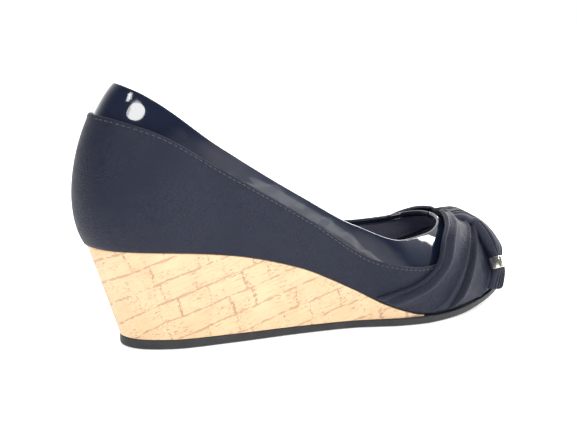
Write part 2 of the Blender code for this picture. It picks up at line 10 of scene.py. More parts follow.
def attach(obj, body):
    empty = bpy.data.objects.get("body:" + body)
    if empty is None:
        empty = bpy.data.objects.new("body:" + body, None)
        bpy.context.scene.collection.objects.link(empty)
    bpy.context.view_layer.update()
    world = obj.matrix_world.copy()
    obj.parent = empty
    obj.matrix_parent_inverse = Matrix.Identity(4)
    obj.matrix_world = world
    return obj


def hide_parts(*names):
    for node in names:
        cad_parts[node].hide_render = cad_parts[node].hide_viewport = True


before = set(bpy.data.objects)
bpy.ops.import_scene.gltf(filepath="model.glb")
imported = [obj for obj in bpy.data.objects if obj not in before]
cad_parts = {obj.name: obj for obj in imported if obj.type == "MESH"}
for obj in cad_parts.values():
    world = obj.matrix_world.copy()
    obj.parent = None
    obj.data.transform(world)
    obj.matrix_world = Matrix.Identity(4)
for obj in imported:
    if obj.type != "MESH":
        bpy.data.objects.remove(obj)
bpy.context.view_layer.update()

# Named sizes of the part, in millimetres in the shoe's own axes
LENGTH = 240.0
BALL_WIDTH = 70.0
HEEL_HEIGHT = 48.3
BACK_HEIGHT = 120.2
INSTEP_HEIGHT = 71.0
TOE_SPRING = 9.6
HEEL_RAKE = 16.5
WEDGE_TIP_X = 0.677 * LENGTH
HEEL_C = 0.117 * LENGTH
TOE_C = 0.883 * LENGTH
WALL = 1.5
COLLAR_WALL = 1.2
GAP = 0.3
SOLE_GAP = 0.35
ORIGIN = np.array((-118.449, 0.639, 0.0))
MM = 0.001

OUTLINE = (
    (0.015, 0.000, 0.000),
    (0.035, -0.172, 0.172),
    (0.110, -0.315, 0.310),
    (0.250, -0.366, 0.320),
    (0.400, -0.383, 0.272),
    (0.530, -0.413, 0.354),
    (0.640, -0.490, 0.446),
    (0.740, -0.476, 0.476),
    (0.840, -0.382, 0.452),
    (0.920, -0.240, 0.370),
    (0.968, -0.085, 0.240),
    (0.985, 0.080, 0.080),
)
FEATHER = (
    (-0.04, 1.010),
    (0.000, 1.000),
    (0.125, 0.972),
    (0.250, 0.900),
    (0.396, 0.712),
    (0.521, 0.425),
    (0.590, 0.240),
    (0.645, 0.134),
    (0.665, 0.106),
    (0.695, 0.086),
    (0.720, 0.082),
    (0.770, 0.090),
    (0.900, 0.172),
    (1.000, 0.272),
)
CROWN = (
    (0.000, 1.760),
    (0.117, 1.760),
    (0.250, 1.740),
    (0.417, 1.370),
    (0.583, 1.000),
    (0.687, 0.789),
    (0.786, 0.697),
    (0.854, 0.560),
    (0.884, 0.490),
)
TOPLINE = (
    (-0.021, 1.026),
    (0.033, 1.020),
    (0.092, 0.976),
    (0.250, 0.752),
    (0.417, 0.549),
    (0.530, 0.425),
    (0.645, 0.349),
    (0.720, 0.360),
    (0.795, 0.402),
)
SEAM = (
    (-0.021, 0.879),
    (0.017, 0.879),
    (0.092, 0.842),
    (0.250, 0.668),
    (0.417, 0.472),
    (0.583, 0.270),
    (0.687, 0.233),
    (0.750, 0.242),
    (0.800, 0.286),
    (0.845, 0.440),
)
PROFILE_BULGE = ((0.0, 0.117, 0.25, 0.625, 0.81, 0.90, 1.0), (14.5, 12.0, 4.0, 3.0, 2.5, 2.0, 1.6))
PROFILE_RISE = ((0.0, 0.25, 0.625, 0.81, 0.883, 0.94, 1.0), (0.30, 0.35, 0.50, 0.60, 0.50, 0.28, 0.16))
PROFILE_TOP = ((0.0, 0.25, 0.417, 0.625, 0.883, 1.0), (0.80, 0.80, 0.75, 0.60, 0.58, 0.42))

# Pleats of the drapes: share of the way up, then the shares of length of the six fold lines
FOLDS = (
    (0.00, 0.562, 0.600, 0.679, 0.735, 0.833, 0.925),
    (0.10, 0.603, 0.638, 0.729, 0.772, 0.854, 0.929),
    (0.20, 0.651, 0.688, 0.756, 0.792, 0.866, 0.930),
    (0.35, 0.709, 0.738, 0.786, 0.813, 0.884, 0.930),
    (0.55, 0.740, 0.768, 0.813, 0.835, 0.896, 0.929),
    (0.75, 0.774, 0.801, 0.835, 0.854, 0.896, 0.926),
    (1.00, 0.796, 0.819, 0.847, 0.864, 0.896, 0.924),
)
SWATH_TOP = 0.88
SWATH_LOW = 0.012
SWATH_BASE = 1.0
# One row a fold line: height (mm), width behind it and width ahead of it (mm)
PLEATS = (
    (1.2, 1.0, 1.5),
    (2.2, 1.9, 2.2),
    (2.0, 2.0, 0.5),
    (1.9, 0.5, 2.0),
    (1.4, 1.9, 0.5),
)

# Run of the centre band on the lateral half of the last: share of length, share of the way up the section
RUN = (
    (0.818, 0.960),
    (0.864, 0.950),
    (0.893, 0.880),
    (0.908, 0.730),
    (0.907, 0.570),
    (0.899, 0.400),
    (0.892, 0.220),
    (0.886, 0.030),
)

# Fold lines along the centre band: share along its run, then six places across it, from its rear edge (-1)
# to its front edge (1)
BAND_FOLDS = (
    (0.00, -0.88, -0.74, -0.60, 0.06, 0.40, 0.70),
    (0.12, -0.84, -0.62, -0.40, 0.04, 0.36, 0.68),
    (0.30, -0.82, -0.54, -0.28, 0.04, 0.34, 0.66),
    (0.60, -0.78, -0.50, -0.16, 0.12, 0.40, 0.68),
    (0.79, -0.70, -0.42, -0.14, 0.14, 0.44, 0.74),
    (1.00, -0.76, -0.46, -0.16, 0.14, 0.46, 0.76),
)

# Centre band: share along its run, half width, thickness, lift off the drape, fold depth (mm),
# share of the drape's curve that the underside follows
BAND = (
    (0.00, 8.2, 2.2, 0.3, 0.3, 1.0),
    (0.05, 9.0, 2.8, 0.4, 0.6, 1.0),
    (0.15, 9.8, 3.2, 0.5, 0.9, 1.0),
    (0.30, 10.4, 4.0, 0.6, 1.1, 1.0),
    (0.47, 10.6, 5.4, 0.8, 1.2, 1.0),
    (0.59, 9.8, 6.0, 1.0, 1.0, 0.9),
    (0.67, 7.6, 5.4, 1.4, 0.8, 0.6),
    (0.71, 6.0, 4.2, 1.8, 0.5, 0.2),
    (0.735, 5.4, 3.8, 2.0, 0.4, 0.0),
    (0.86, 5.4, 3.8, 2.0, 0.4, 0.0),
    (0.90, 6.6, 3.8, 1.5, 0.7, 0.5),
    (1.00, 8.6, 3.8, 0.8, 0.9, 1.0),
)
KEEPER_AT = 0.79
KEEPER_LENGTH = 6.0
KEEPER_WALL = 1.0
KEEPER_ROOM = 0.65
HEM_RISE = 0.6

# Fullness of the gathered drape near the middle: share of length, extra thickness (mm)
FULLNESS = (
    (0.780, 0.0),
    (0.805, 0.0),
    (0.832, 1.3),
    (0.868, 2.2),
    (0.900, 1.0),
    (0.940, 0.0),
)


def smooth(rows, x):
    """Shape-keeping cubic through rows of (place, value)."""
    px = np.array([r[0] for r in rows], float)
    py = np.array([r[1] for r in rows], float)
    h = np.diff(px)
    d = np.diff(py) / h
    m = np.zeros(len(px))
    for i in range(1, len(px) - 1):
        if d[i - 1] * d[i] > 0:
            w1 = 2 * h[i] + h[i - 1]
            w2 = h[i] + 2 * h[i - 1]
            m[i] = (w1 + w2) / (w1 / d[i - 1] + w2 / d[i])
    m[0] = d[0]
    m[-1] = d[-1]
    x = np.clip(np.asarray(x, float), px[0], px[-1])
    k = np.clip(np.searchsorted(px, x) - 1, 0, len(h) - 1)
    s = (x - px[k]) / h[k]
    a = (1 + 2 * s) * (1 - s) ** 2 * py[k] + s * (1 - s) ** 2 * h[k] * m[k]
    b = s * s * (3 - 2 * s) * py[k + 1] + s * s * (s - 1) * h[k] * m[k + 1]
    return a + b


def step(a, b, x):
    """Smooth step from 0 at a to 1 at b."""
    s = np.clip((np.asarray(x, float) - a) / (b - a), 0, 1)
    return s * s * (3 - 2 * s)


def feather_z(x):
    return smooth(FEATHER, np.asarray(x) / LENGTH) * HEEL_HEIGHT


def crown_z(x):
    return smooth(CROWN, np.asarray(x) / LENGTH) * INSTEP_HEIGHT


def top_z(x):
    return smooth(TOPLINE, np.asarray(x) / LENGTH) * BACK_HEIGHT


def seam_z(x):
    return smooth(SEAM, np.asarray(x) / LENGTH) * BACK_HEIGHT


def between(u, t0, t1, a, b):
    """Straight blend from a at t0 to b at t1."""
    return (t1 - u) / (t1 - t0) * a + (u - t0) / (t1 - t0) * b


def closed_curve(points, count):
    """Closed centripetal Catmull-Rom curve through the points."""
    n = len(points)
    out = []
    for i in range(n):
        p = [points[(i + j - 1) % n] for j in range(4)]
        t = [0.0]
        for j in range(3):
            t.append(t[-1] + max(np.linalg.norm(p[j + 1] - p[j]), 1e-9) ** 0.5)
        for u in np.linspace(t[1], t[2], count, endpoint=False):
            a = [between(u, t[j], t[j + 1], p[j], p[j + 1]) for j in range(3)]
            b = [between(u, t[j], t[j + 2], a[j], a[j + 1]) for j in range(2)]
            out.append(between(u, t[1], t[2], b[0], b[1]))
    return np.array(out)


def plan_points():
    lateral = [np.array((r[0] * LENGTH, r[1] * BALL_WIDTH)) for r in OUTLINE]
    medial = [np.array((r[0] * LENGTH, r[2] * BALL_WIDTH)) for r in OUTLINE[1:-1]]
    return lateral + medial[::-1]


PLAN = closed_curve(plan_points(), 48)
HEEL_END = int(np.argmin(PLAN[:, 0]))
PLAN = np.roll(PLAN, -HEEL_END, axis=0)
TOE_END = int(np.argmax(PLAN[:, 0]))
LATERAL = PLAN[:TOE_END + 1]
MEDIAL = np.concatenate([PLAN[TOE_END:], PLAN[:1]])[::-1]
BACK_X = float(LATERAL[0, 0])
FRONT_X = float(LATERAL[-1, 0])


def plan_y(x, side):
    """y of the feather edge at x; side -1 lateral, 1 medial."""
    branch = LATERAL if side < 0 else MEDIAL
    return np.interp(x, branch[:, 0], branch[:, 1])


def along(x, places, values):
    """Value at x from straight rows given at shares of the length."""
    return np.interp(np.asarray(x, float) / LENGTH, places, values)


def eased(x, places, values):
    """The same rows, joined by a smooth curve."""
    return smooth(list(zip(places, values)), np.asarray(x, float) / LENGTH)


def crown_y(x):
    return eased(x, (0.117, 0.40, 0.625, 0.883), (0, -0.043, 0, 0.043)) * BALL_WIDTH


def last_at(x, side, t):
    """Point of the last: x of the feather edge, side, share t of the way up to the crown line."""
    y = plan_y(x, side)
    cx = np.clip(x, HEEL_C, TOE_C)
    cy = crown_y(cx)
    zf = feather_z(x)
    zc = crown_z(cx)
    ox = x - cx
    oy = y - cy
    reach = np.sqrt(ox * ox + oy * oy)
    ox = ox / reach
    oy = oy / reach
    bulge = eased(x, *PROFILE_BULGE)
    rise = (zc - zf) * eased(x, *PROFILE_RISE)
    top = reach * eased(x, *PROFILE_TOP)
    fall = 0.75 * top * np.where(x > TOE_C, ox, 0)
    a = (1 - t) ** 3
    b = 3 * (1 - t) ** 2 * t
    c = 3 * (1 - t) * t * t
    d = t ** 3
    px = a * x + b * (x + ox * bulge) + c * (cx + ox * top) + d * cx
    py = a * y + b * (y + oy * bulge) + c * (cy + oy * top) + d * cy
    pz = a * zf + b * (zf + rise) + c * (zc - fall) + d * zc
    return np.stack([px, py, pz], -1)


EVEN_STEP = 2.5


def last(x, side, t):
    """The last, evened out along its length so that glossy pieces show no kinks."""
    x = np.clip(np.asarray(x, float), BACK_X, FRONT_X)
    t = np.asarray(t, float)
    reach = EVEN_STEP * np.clip(np.minimum(x - BACK_X, FRONT_X - x) / 12.0, 0, 1)
    total = 0.0
    for k, w in ((-2, 1), (-1, 4), (0, 6), (1, 4), (2, 1)):
        total = total + last_at(x + k * reach, side, t) * (w / 16.0)
    return total


def last_normal(x, side, t):
    """Outward unit normal of the last at the same place."""
    x = np.clip(np.asarray(x, float), BACK_X + 0.02, FRONT_X - 0.02)
    t = np.clip(np.asarray(t, float), 0.002, 0.985)
    e = 0.01
    du = last(x + e, side, t) - last(x - e, side, t)
    dt = last(x, side, t + 0.002) - last(x, side, t - 0.002)
    n = np.cross(du, dt) * (-side)
    return n / np.linalg.norm(n, axis=-1, keepdims=True)


def offset(x, side, t, by):
    p = last(x, side, t)
    n = last_normal(x, side, t)
    tip = (np.asarray(x) <= BACK_X + 0.03) | (np.asarray(x) >= FRONT_X - 0.03)
    n = np.where(tip[..., None], n * np.array((1.0, 0.0, 1.0)), n)
    n = n / np.linalg.norm(n, axis=-1, keepdims=True)
    return p + n * np.asarray(by)[..., None]


def crossing(xs, side, level):
    """Share t where each section first reaches the level curve, or 1."""
    t = np.linspace(0, 1, 401)[None, :]
    x = np.asarray(xs, float)[:, None] + 0 * t
    p = last(x, side, t + 0 * x)
    g = p[..., 2] - level(p[..., 0])
    rising = (g[:, :-1] < 0) & (g[:, 1:] >= 0)
    found = rising.any(axis=1)
    k = np.argmax(rising, axis=1)
    row = np.arange(len(x))
    a = g[row, k]
    gain = np.where(found, g[row, k + 1] - a, 1.0)
    return np.where(found, (k - a / gain) / 400.0, 1.0)


def front_of(level):
    """x on the crown line where a level curve meets it."""
    x = np.linspace(0.70, 0.882, 821) * LENGTH
    g = crown_z(x) - level(x)
    k = int(np.nonzero((g[:-1] > 0) & (g[1:] <= 0))[0][0])
    return float(x[k] + (x[k + 1] - x[k]) * g[k] / (g[k] - g[k + 1]))


SEAM_FRONT = front_of(seam_z)
TOP_FRONT = front_of(top_z)


# Mesh helpers
def place_object(name, data):
    obj = bpy.data.objects.new(name, data)
    bpy.context.scene.collection.objects.link(obj)
    return obj


def add_piece(name, points, faces, mats, index=None, replaces=(), painted_fold_shading=None):
    """A smooth mesh piece from points in the shoe's millimetres, riding on the part.

    The fold shading values mark crests (over 0), which the leather's colour paints lighter as a painted
    highlight, and valleys (under 0), which it paints darker as painted shade.
    """
    mesh = bpy.data.meshes.new(name)
    mesh.from_pydata(((np.asarray(points, float) + ORIGIN) * MM).tolist(), [], faces)
    for mat in mats:
        mesh.materials.append(mat)
    if index is not None:
        mesh.polygons.foreach_set("material_index", np.asarray(index, np.int32))
    if painted_fold_shading is not None:
        layer = mesh.attributes.new("painted_fold_shading", "FLOAT", "POINT")
        layer.data.foreach_set("value", np.clip(painted_fold_shading, -1, 1).astype(np.float32))
    bm = bmesh.new()
    bm.from_mesh(mesh)
    bmesh.ops.remove_doubles(bm, verts=bm.verts[:], dist=0.000004)
    bmesh.ops.dissolve_degenerate(bm, edges=bm.edges[:], dist=0.000002)
    bmesh.ops.recalc_face_normals(bm, faces=bm.faces[:])
    bm.to_mesh(mesh)
    bm.free()
    mesh.polygons.foreach_set("use_smooth", [True] * len(mesh.polygons))
    obj = place_object(name, mesh)
    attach(obj, "root")
    if replaces:
        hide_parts(*replaces)
    return obj


def grid_faces(rows, cols, base=0, ring_rows=False, ring_cols=False):
    """Faces of a grid of points, whose rows or columns may close on themselves."""
    faces = []
    for i in range(rows if ring_rows else rows - 1):
        a = base + i * cols
        b = base + (i + 1) % rows * cols
        for j in range(cols if ring_cols else cols - 1):
            k = (j + 1) % cols
            faces.append((a + j, b + j, b + k, a + k))
    return faces


def tube_faces(rows, cols, base=0, ring_rows=False):
    return grid_faces(rows, cols, base, ring_rows, True)


def strip_faces(starts, ahead, behind):
    """Faces that join an edge of one grid, from each start to the point ahead, to the grid behind it."""
    return [(a, a + ahead, a + ahead + behind, a + behind) for a in starts]


def cap_faces(base, n, turned):
    """Ladder of faces that closes a ring."""
    faces = []
    for i in range(n // 2):
        quad = (base + i, base + i + 1, base + (n - i - 1) % n, base + (n - i) % n)
        face = tuple(dict.fromkeys(quad))
        if len(face) >= 3:
            faces.append(face[::-1] if turned else face)
    return faces


def stations(count, marks):
    """x stations over the whole plan, closer at the tips, with the marks among them."""
    u = np.linspace(0, 1, count)
    x = BACK_X + (FRONT_X - BACK_X) * (1 - np.cos(np.pi * u)) / 2
    for m in marks:
        x[int(np.argmin(np.abs(x - m)))] = m
    return np.sort(x)


def run_along(rows):
    """Distance from the start of each row of points."""
    run = np.cumsum(np.linalg.norm(np.diff(rows, axis=1), axis=2), axis=1)
    return np.concatenate([np.zeros((len(run), 1)), run], axis=1)


def sample(at, run, values):
    """Rows of three numbers, read at places along a run."""
    return np.column_stack([np.interp(at, run, values[:, k]) for k in range(3)])


def shares_below(xs, side, ends, dists):
    """Shares t at the given distances (mm) below the shares ends, a row a section, and each run's length."""
    t = np.asarray(ends, float)[:, None] * np.linspace(0, 1, 180)[None, :]
    p = last(np.asarray(xs, float)[:, None] + 0 * t, side, t)
    run = run_along(p)
    dists = np.broadcast_to(dists, (len(run), np.shape(dists)[-1]))
    shares = np.array([np.interp(r[-1] - d, r, row) for r, d, row in zip(run, dists, t)])
    return shares, run[:, -1]


# Materials
SHADER_INPUTS = {"colour": "Base Color", "rough": "Roughness", "metal": "Metallic", "normal": "Normal",
                 "coat": "Coat Weight", "coat_rough": "Coat Roughness", "sheen": "Sheen Weight",
                 "sheen_rough": "Sheen Roughness", "specular": "Specular IOR Level",
                 "glow": "Emission Color", "glow_strength": "Emission Strength"}


class Nodes:
    """Short hand for building the nodes of a material or a world."""

    def __init__(self, data):
        data.use_nodes = True
        self.data = data
        self.tree = data.node_tree

    def put(self, socket, value):
        if isinstance(value, bpy.types.NodeSocket):
            self.tree.links.new(value, socket)
        else:
            socket.default_value = value

    def add(self, kind, output, inputs, **props):
        """A node with its inputs set by name or number, as the output that is asked for."""
        n = self.tree.nodes.new("ShaderNode" + kind)
        for key, value in props.items():
            setattr(n, key, value)
        for key, value in inputs.items():
            self.put(n.inputs[key], value)
        return n.outputs[output]

    def math(self, op, *values):
        return self.add("Math", 0, dict(enumerate(values)), operation=op)

    def times(self, a, b):
        return self.math("MULTIPLY", a, b)

    def remap(self, value, a, b, c=0.0, d=1.0, smooth_step=True):
        ends = {"Value": value, "From Min": a, "From Max": b, "To Min": c, "To Max": d}
        kind = "SMOOTHSTEP" if smooth_step else "LINEAR"
        return self.add("MapRange", "Result", ends, interpolation_type=kind)

    def mix(self, factor, a, b):
        return self.add("Mix", 2, {0: factor, 6: a, 7: b}, data_type="RGBA")

    def place(self, scale=(1, 1, 1)):
        """Object coordinates, scaled."""
        return self.scaled(self.add("TexCoord", "Object", {}), scale)

    def scaled(self, vector, scale=(1, 1, 1), turn=0.0):
        return self.add("Mapping", 0, {"Vector": vector, "Scale": scale, "Rotation": (0, 0, turn)})

    def noise(self, vector, scale, detail=2.0, rough=0.5, warp=0.0, output="Fac"):
        return self.add("TexNoise", output, {"Vector": vector, "Scale": scale, "Detail": detail,
                                             "Roughness": rough, "Distortion": warp})

    def cells(self, vector, scale, feature):
        return self.add("TexVoronoi", "Distance", {"Vector": vector, "Scale": scale}, feature=feature)

    def bump(self, height, distance, strength=1.0, normal=None):
        inputs = {"Height": height, "Distance": distance, "Strength": strength}
        if normal is not None:
            inputs["Normal"] = normal
        return self.add("Bump", "Normal", inputs)

    def set(self, **values):
        shader = self.tree.nodes["Principled BSDF"]
        for key, value in values.items():
            self.put(shader.inputs[SHADER_INPUTS[key]], value)
        return self.data


def material(name):
    return Nodes(bpy.data.materials.new(name))


def rgb(r, g, b):
    return (r, g, b, 1.0)


def matte_leather():
    m = material("matte_leather_grain")
    place = m.place()
    pebble = m.cells(place, 1500.0, "SMOOTH_F1")
    fine = m.noise(place, 3800.0, 3.0, 0.6)
    soft = m.noise(place, 60.0, 3.0, 0.55)
    rubbing_and_fold_shade = m.noise(place, 240.0, 4.0, 0.6)
    tone = m.remap(soft, 0.3, 0.7)
    colour = m.mix(tone, rgb(0.0068, 0.0105, 0.0270), rgb(0.0110, 0.0158, 0.0365))
    colour = m.mix(m.times(m.remap(pebble, 0.35, 0.75), 0.35), colour, rgb(0.006, 0.008, 0.016))
    wrinkle = m.cells(m.place((1.0, 1.0, 1.7)), 400.0, "DISTANCE_TO_EDGE")
    wrinkle = m.times(m.remap(wrinkle, 0.0, 0.16, 1.0, 0.0), m.remap(soft, 0.40, 0.60, 0.15, 1.0))
    # Painted shade: the colour is darkened along the fine wrinkle lines, which are also bumped
    colour = m.mix(m.times(wrinkle, 0.55), colour, rgb(0.004, 0.0055, 0.012))
    # Painted highlight on the fold crests and painted shade in the fold valleys, read from the fold shading
    # attribute
    painted_fold_shading = m.add("Attribute", "Fac", {}, attribute_name="painted_fold_shading")
    colour = m.mix(m.times(m.remap(painted_fold_shading, 0.0, 1.0), 0.55), colour, rgb(0.050, 0.058, 0.088))
    colour = m.mix(m.times(m.remap(painted_fold_shading, 0.0, -1.0), 0.75), colour, rgb(0.0015, 0.002, 0.005))
    rough = m.remap(rubbing_and_fold_shade, 0.3, 0.7, 0.50, 0.62, False)
    height = m.math("ADD", m.times(pebble, -1.0), m.times(fine, 0.35))
    normal = m.bump(height, 0.00018, 0.85)
    normal = m.bump(m.times(wrinkle, -1.0), 0.0002, 0.5, normal)
    normal = m.bump(soft, 0.0012, 0.25, normal)
    return m.set(colour=colour, rough=rough, normal=normal, specular=0.30, sheen=0.04, sheen_rough=0.45)


def patent_leather():
    m = material("patent_leather_gloss")
    place = m.place()
    wave = m.noise(place, 70.0, 1.0, 0.4)
    ripple = m.noise(place, 620.0, 2.0, 0.5)
    tone = m.remap(m.noise(place, 40.0, 2.0, 0.5), 0.35, 0.65)
    colour = m.mix(tone, rgb(0.0075, 0.0110, 0.0260), rgb(0.0110, 0.0155, 0.0350))
    rough = m.remap(m.noise(place, 150.0, 3.0, 0.6), 0.3, 0.7, 0.05, 0.11, False)
    normal = m.bump(wave, 0.0030, 0.30)
    normal = m.bump(ripple, 0.00004, 0.08, normal)
    return m.set(colour=colour, rough=rough, normal=normal, specular=0.25, coat=0.6, coat_rough=0.03)


def lining_fabric():
    m = material("lining_suede")
    place = m.place()
    nap = m.noise(place, 2600.0, 4.0, 0.65)
    soft = m.noise(place, 90.0, 3.0, 0.55)
    colour = m.mix(m.remap(soft, 0.3, 0.7), rgb(0.125, 0.130, 0.195), rgb(0.155, 0.160, 0.235))
    normal = m.bump(nap, 0.0001, 0.5)
    return m.set(colour=colour, rough=0.85, normal=normal, specular=0.25, sheen=0.35, sheen_rough=0.6)


def thread():
    m = material("thread")
    place = m.place()
    twist = m.noise(place, 5200.0, 2.0, 0.5)
    colour = m.mix(twist, rgb(0.012, 0.015, 0.028), rgb(0.038, 0.043, 0.062))
    return m.set(colour=colour, rough=0.6, normal=m.bump(twist, 0.00008, 0.6), sheen=0.3)


def rubber():
    m = material("sole_rubber")
    place = m.place()
    grain = m.noise(place, 1900.0, 3.0, 0.6)
    soft = m.noise(place, 70.0, 4.0, 0.6)
    scuff = m.remap(m.noise(place, 330.0, 5.0, 0.7, 0.4), 0.60, 0.72)
    colour = m.mix(m.remap(soft, 0.3, 0.7), rgb(0.023, 0.025, 0.028), rgb(0.037, 0.039, 0.043))
    colour = m.mix(m.times(scuff, 0.35), colour, rgb(0.075, 0.075, 0.078))
    rough = m.remap(soft, 0.3, 0.7, 0.42, 0.60, False)
    return m.set(colour=colour, rough=rough, normal=m.bump(grain, 0.0001, 0.4), specular=0.30)


def metal():
    m = material("keeper_metal")
    place = m.place((1.0, 40.0, 40.0))
    brush = m.noise(place, 60.0, 3.0, 0.6)
    rough = m.remap(brush, 0.3, 0.7, 0.12, 0.24, False)
    colour = m.mix(m.noise(m.place(), 300.0, 2.0, 0.5), rgb(0.93, 0.88, 0.76), rgb(0.97, 0.93, 0.84))
    return m.set(colour=colour, rough=rough, metal=1.0, normal=m.bump(brush, 0.00002, 0.3))


# Slant of the print's courses in degrees, their height, their pitch and their wobble (m), and its colours
CORK_SLANT = 19.0
CORK_COURSE = 0.0098
CORK_PITCH = 0.0150
CORK_WOBBLE = (0.0042, 0.0020, 0.0)
CORK_LIGHT = rgb(0.86, 0.615, 0.38)
CORK_MID = rgb(0.79, 0.545, 0.325)
CORK_PRINT = rgb(0.42, 0.22, 0.135)


def cork():
    """Printed cork: pale ground, slanting courses, broken fissures across them and fine flecks."""
    m = material("cork_print")
    uv = m.add("UVMap", "UV", {}, uv_map="wrap")
    base = m.scaled(uv, turn=math.radians(-CORK_SLANT))
    wobble = m.noise(base, 150.0, 4.0, output="Color")
    shifted = m.add("VectorMath", 0, {0: wobble, 1: CORK_WOBBLE, 2: base}, operation="MULTIPLY_ADD")
    along_row, up = (m.add("SeparateXYZ", k, {0: shifted}) for k in ("X", "Y"))
    row_at = m.math("DIVIDE", up, CORK_COURSE)
    row = m.math("FLOOR", row_at)
    in_row = m.math("FRACT", row_at)
    rim = m.math("MINIMUM", in_row, m.math("SUBTRACT", 1.0, in_row))
    broken = m.noise(base, 190.0, 4.0, 0.65)
    line_width = m.remap(broken, 0.40, 0.66, 0.012, 0.085, False)
    line = m.remap(m.math("SUBTRACT", rim, line_width), -0.012, 0.010, 1.0, 0.0)
    line = m.times(line, m.remap(broken, 0.37, 0.47))
    # Cross fissures, each course with its own
    seat = m.math("ADD", m.math("DIVIDE", along_row, CORK_PITCH), m.times(row, 0.377))
    ident = m.add("CombineXYZ", 0, {0: m.math("FLOOR", seat), 1: row})
    dice = m.add("TexWhiteNoise", "Color", {"Vector": ident}, noise_dimensions="2D")
    seat_roll, width_roll, kept_roll = (m.add("SeparateColor", k, {0: dice}) for k in range(3))
    centre = m.remap(seat_roll, 0.0, 1.0, 0.25, 0.75, False)
    near = m.math("ABSOLUTE", m.math("SUBTRACT", m.math("FRACT", seat), centre))
    ragged = m.noise(base, 780.0, 5.0, 0.75)
    width = m.remap(ragged, 0.36, 0.70, -0.075, 0.095, False)
    width = m.math("ADD", m.times(width_roll, 0.040), width)
    cross = m.remap(m.math("SUBTRACT", near, width), -0.010, 0.006, 1.0, 0.0)
    cross = m.times(cross, m.math("LESS_THAN", kept_roll, 0.78))
    # Flecks in patches and fine streaks along the courses
    patch = m.remap(m.noise(base, 85.0, 3.0, 0.6), 0.44, 0.58)
    fleck = m.times(m.remap(m.noise(m.scaled(base, (1.0, 2.6, 1.0)), 420.0, 5.0, 0.72), 0.545, 0.60), patch)
    streak = m.noise(m.scaled(base, (1.0, 14.0, 1.0)), 90.0, 4.0, 0.6)
    cloud = m.noise(base, 55.0, 3.0, 0.6)
    ground = m.mix(m.remap(cloud, 0.3, 0.7), CORK_LIGHT, CORK_MID)
    ground = m.mix(m.times(m.remap(streak, 0.52, 0.72), 0.38), ground, CORK_PRINT)
    ink = m.math("MAXIMUM", m.times(line, 0.58), m.times(cross, 0.72))
    ink = m.math("MAXIMUM", ink, m.times(fleck, 0.80))
    colour = m.mix(ink, ground, CORK_PRINT)
    height = m.times(ink, -1.0)
    normal = m.bump(height, 0.00006, 0.5)
    normal = m.bump(m.noise(base, 900.0, 3.0, 0.6), 0.00006, 0.35, normal)
    rough = m.remap(cloud, 0.3, 0.7, 0.42, 0.54, False)
    return m.set(colour=colour, rough=rough, normal=normal, specular=0.4)


MATTE = matte_leather()
PATENT = patent_leather()
LINING = lining_fabric()
THREAD = thread()
RUBBER = rubber()
METAL = metal()
CORK = cork()

# Soft creases of the quarter: start and end as shares of length and back height, depth and width (mm), side
CREASES = (
    (0.045, 0.700, 0.200, 0.640, 0.16, 0.9, -1),
    (0.150, 0.655, 0.330, 0.500, 0.14, 0.8, -1),
    (0.240, 0.545, 0.430, 0.370, 0.16, 0.9, -1),
    (0.020, 0.600, 0.130, 0.590, 0.18, 1.0, -1),
    (0.100, 0.500, 0.280, 0.430, 0.12, 1.2, -1),
    (0.330, 0.430, 0.520, 0.250, 0.12, 0.9, -1),
    (0.030, 0.660, 0.180, 0.610, 0.16, 1.0, 1),
    (0.180, 0.600, 0.360, 0.440, 0.14, 0.9, 1),
    (0.090, 0.520, 0.260, 0.460, 0.12, 1.1, 1),
)


def join_ends(lateral, medial):
    """Makes the first and last rows of two halves the same."""
    for end in (0, -1):
        mean = (lateral[end] + medial[end]) / 2
        lateral[end] = mean
        medial[end] = mean


def crease_depth(points, side):
    """How far the soft creases press the leather in at each point."""
    total = np.zeros(points.shape[:-1])
    x = points[..., 0] / LENGTH
    z = points[..., 2] / BACK_HEIGHT
    for x0, z0, x1, z1, depth, width, on in CREASES:
        if on != side:
            continue
        s = np.clip((x - x0) / (x1 - x0), 0, 1)
        away = (z - (z0 + (z1 - z0) * s - 0.012 * np.sin(np.pi * s))) * BACK_HEIGHT
        fade = step(x0 - 0.01, x0 + 0.04, x) * (1 - step(x1 - 0.05, x1 + 0.01, x))
        trough = np.exp(-(away / width) ** 2)
        ridge = np.exp(-((away - 1.7 * width) / width) ** 2)
        total = total + depth * fade * (trough - 0.45 * ridge)
    return total


# Upper
EDGE_ROUND = 0.7
TURNED_IN = 0.26
EDGE_STEPS = (5.2, 4.4, 3.7, 3.1, 2.6, 2.1, 1.7, 1.3, 1.0, 0.75, 0.52, 0.34, 0.20, 0.10, 0.03, 0.0)


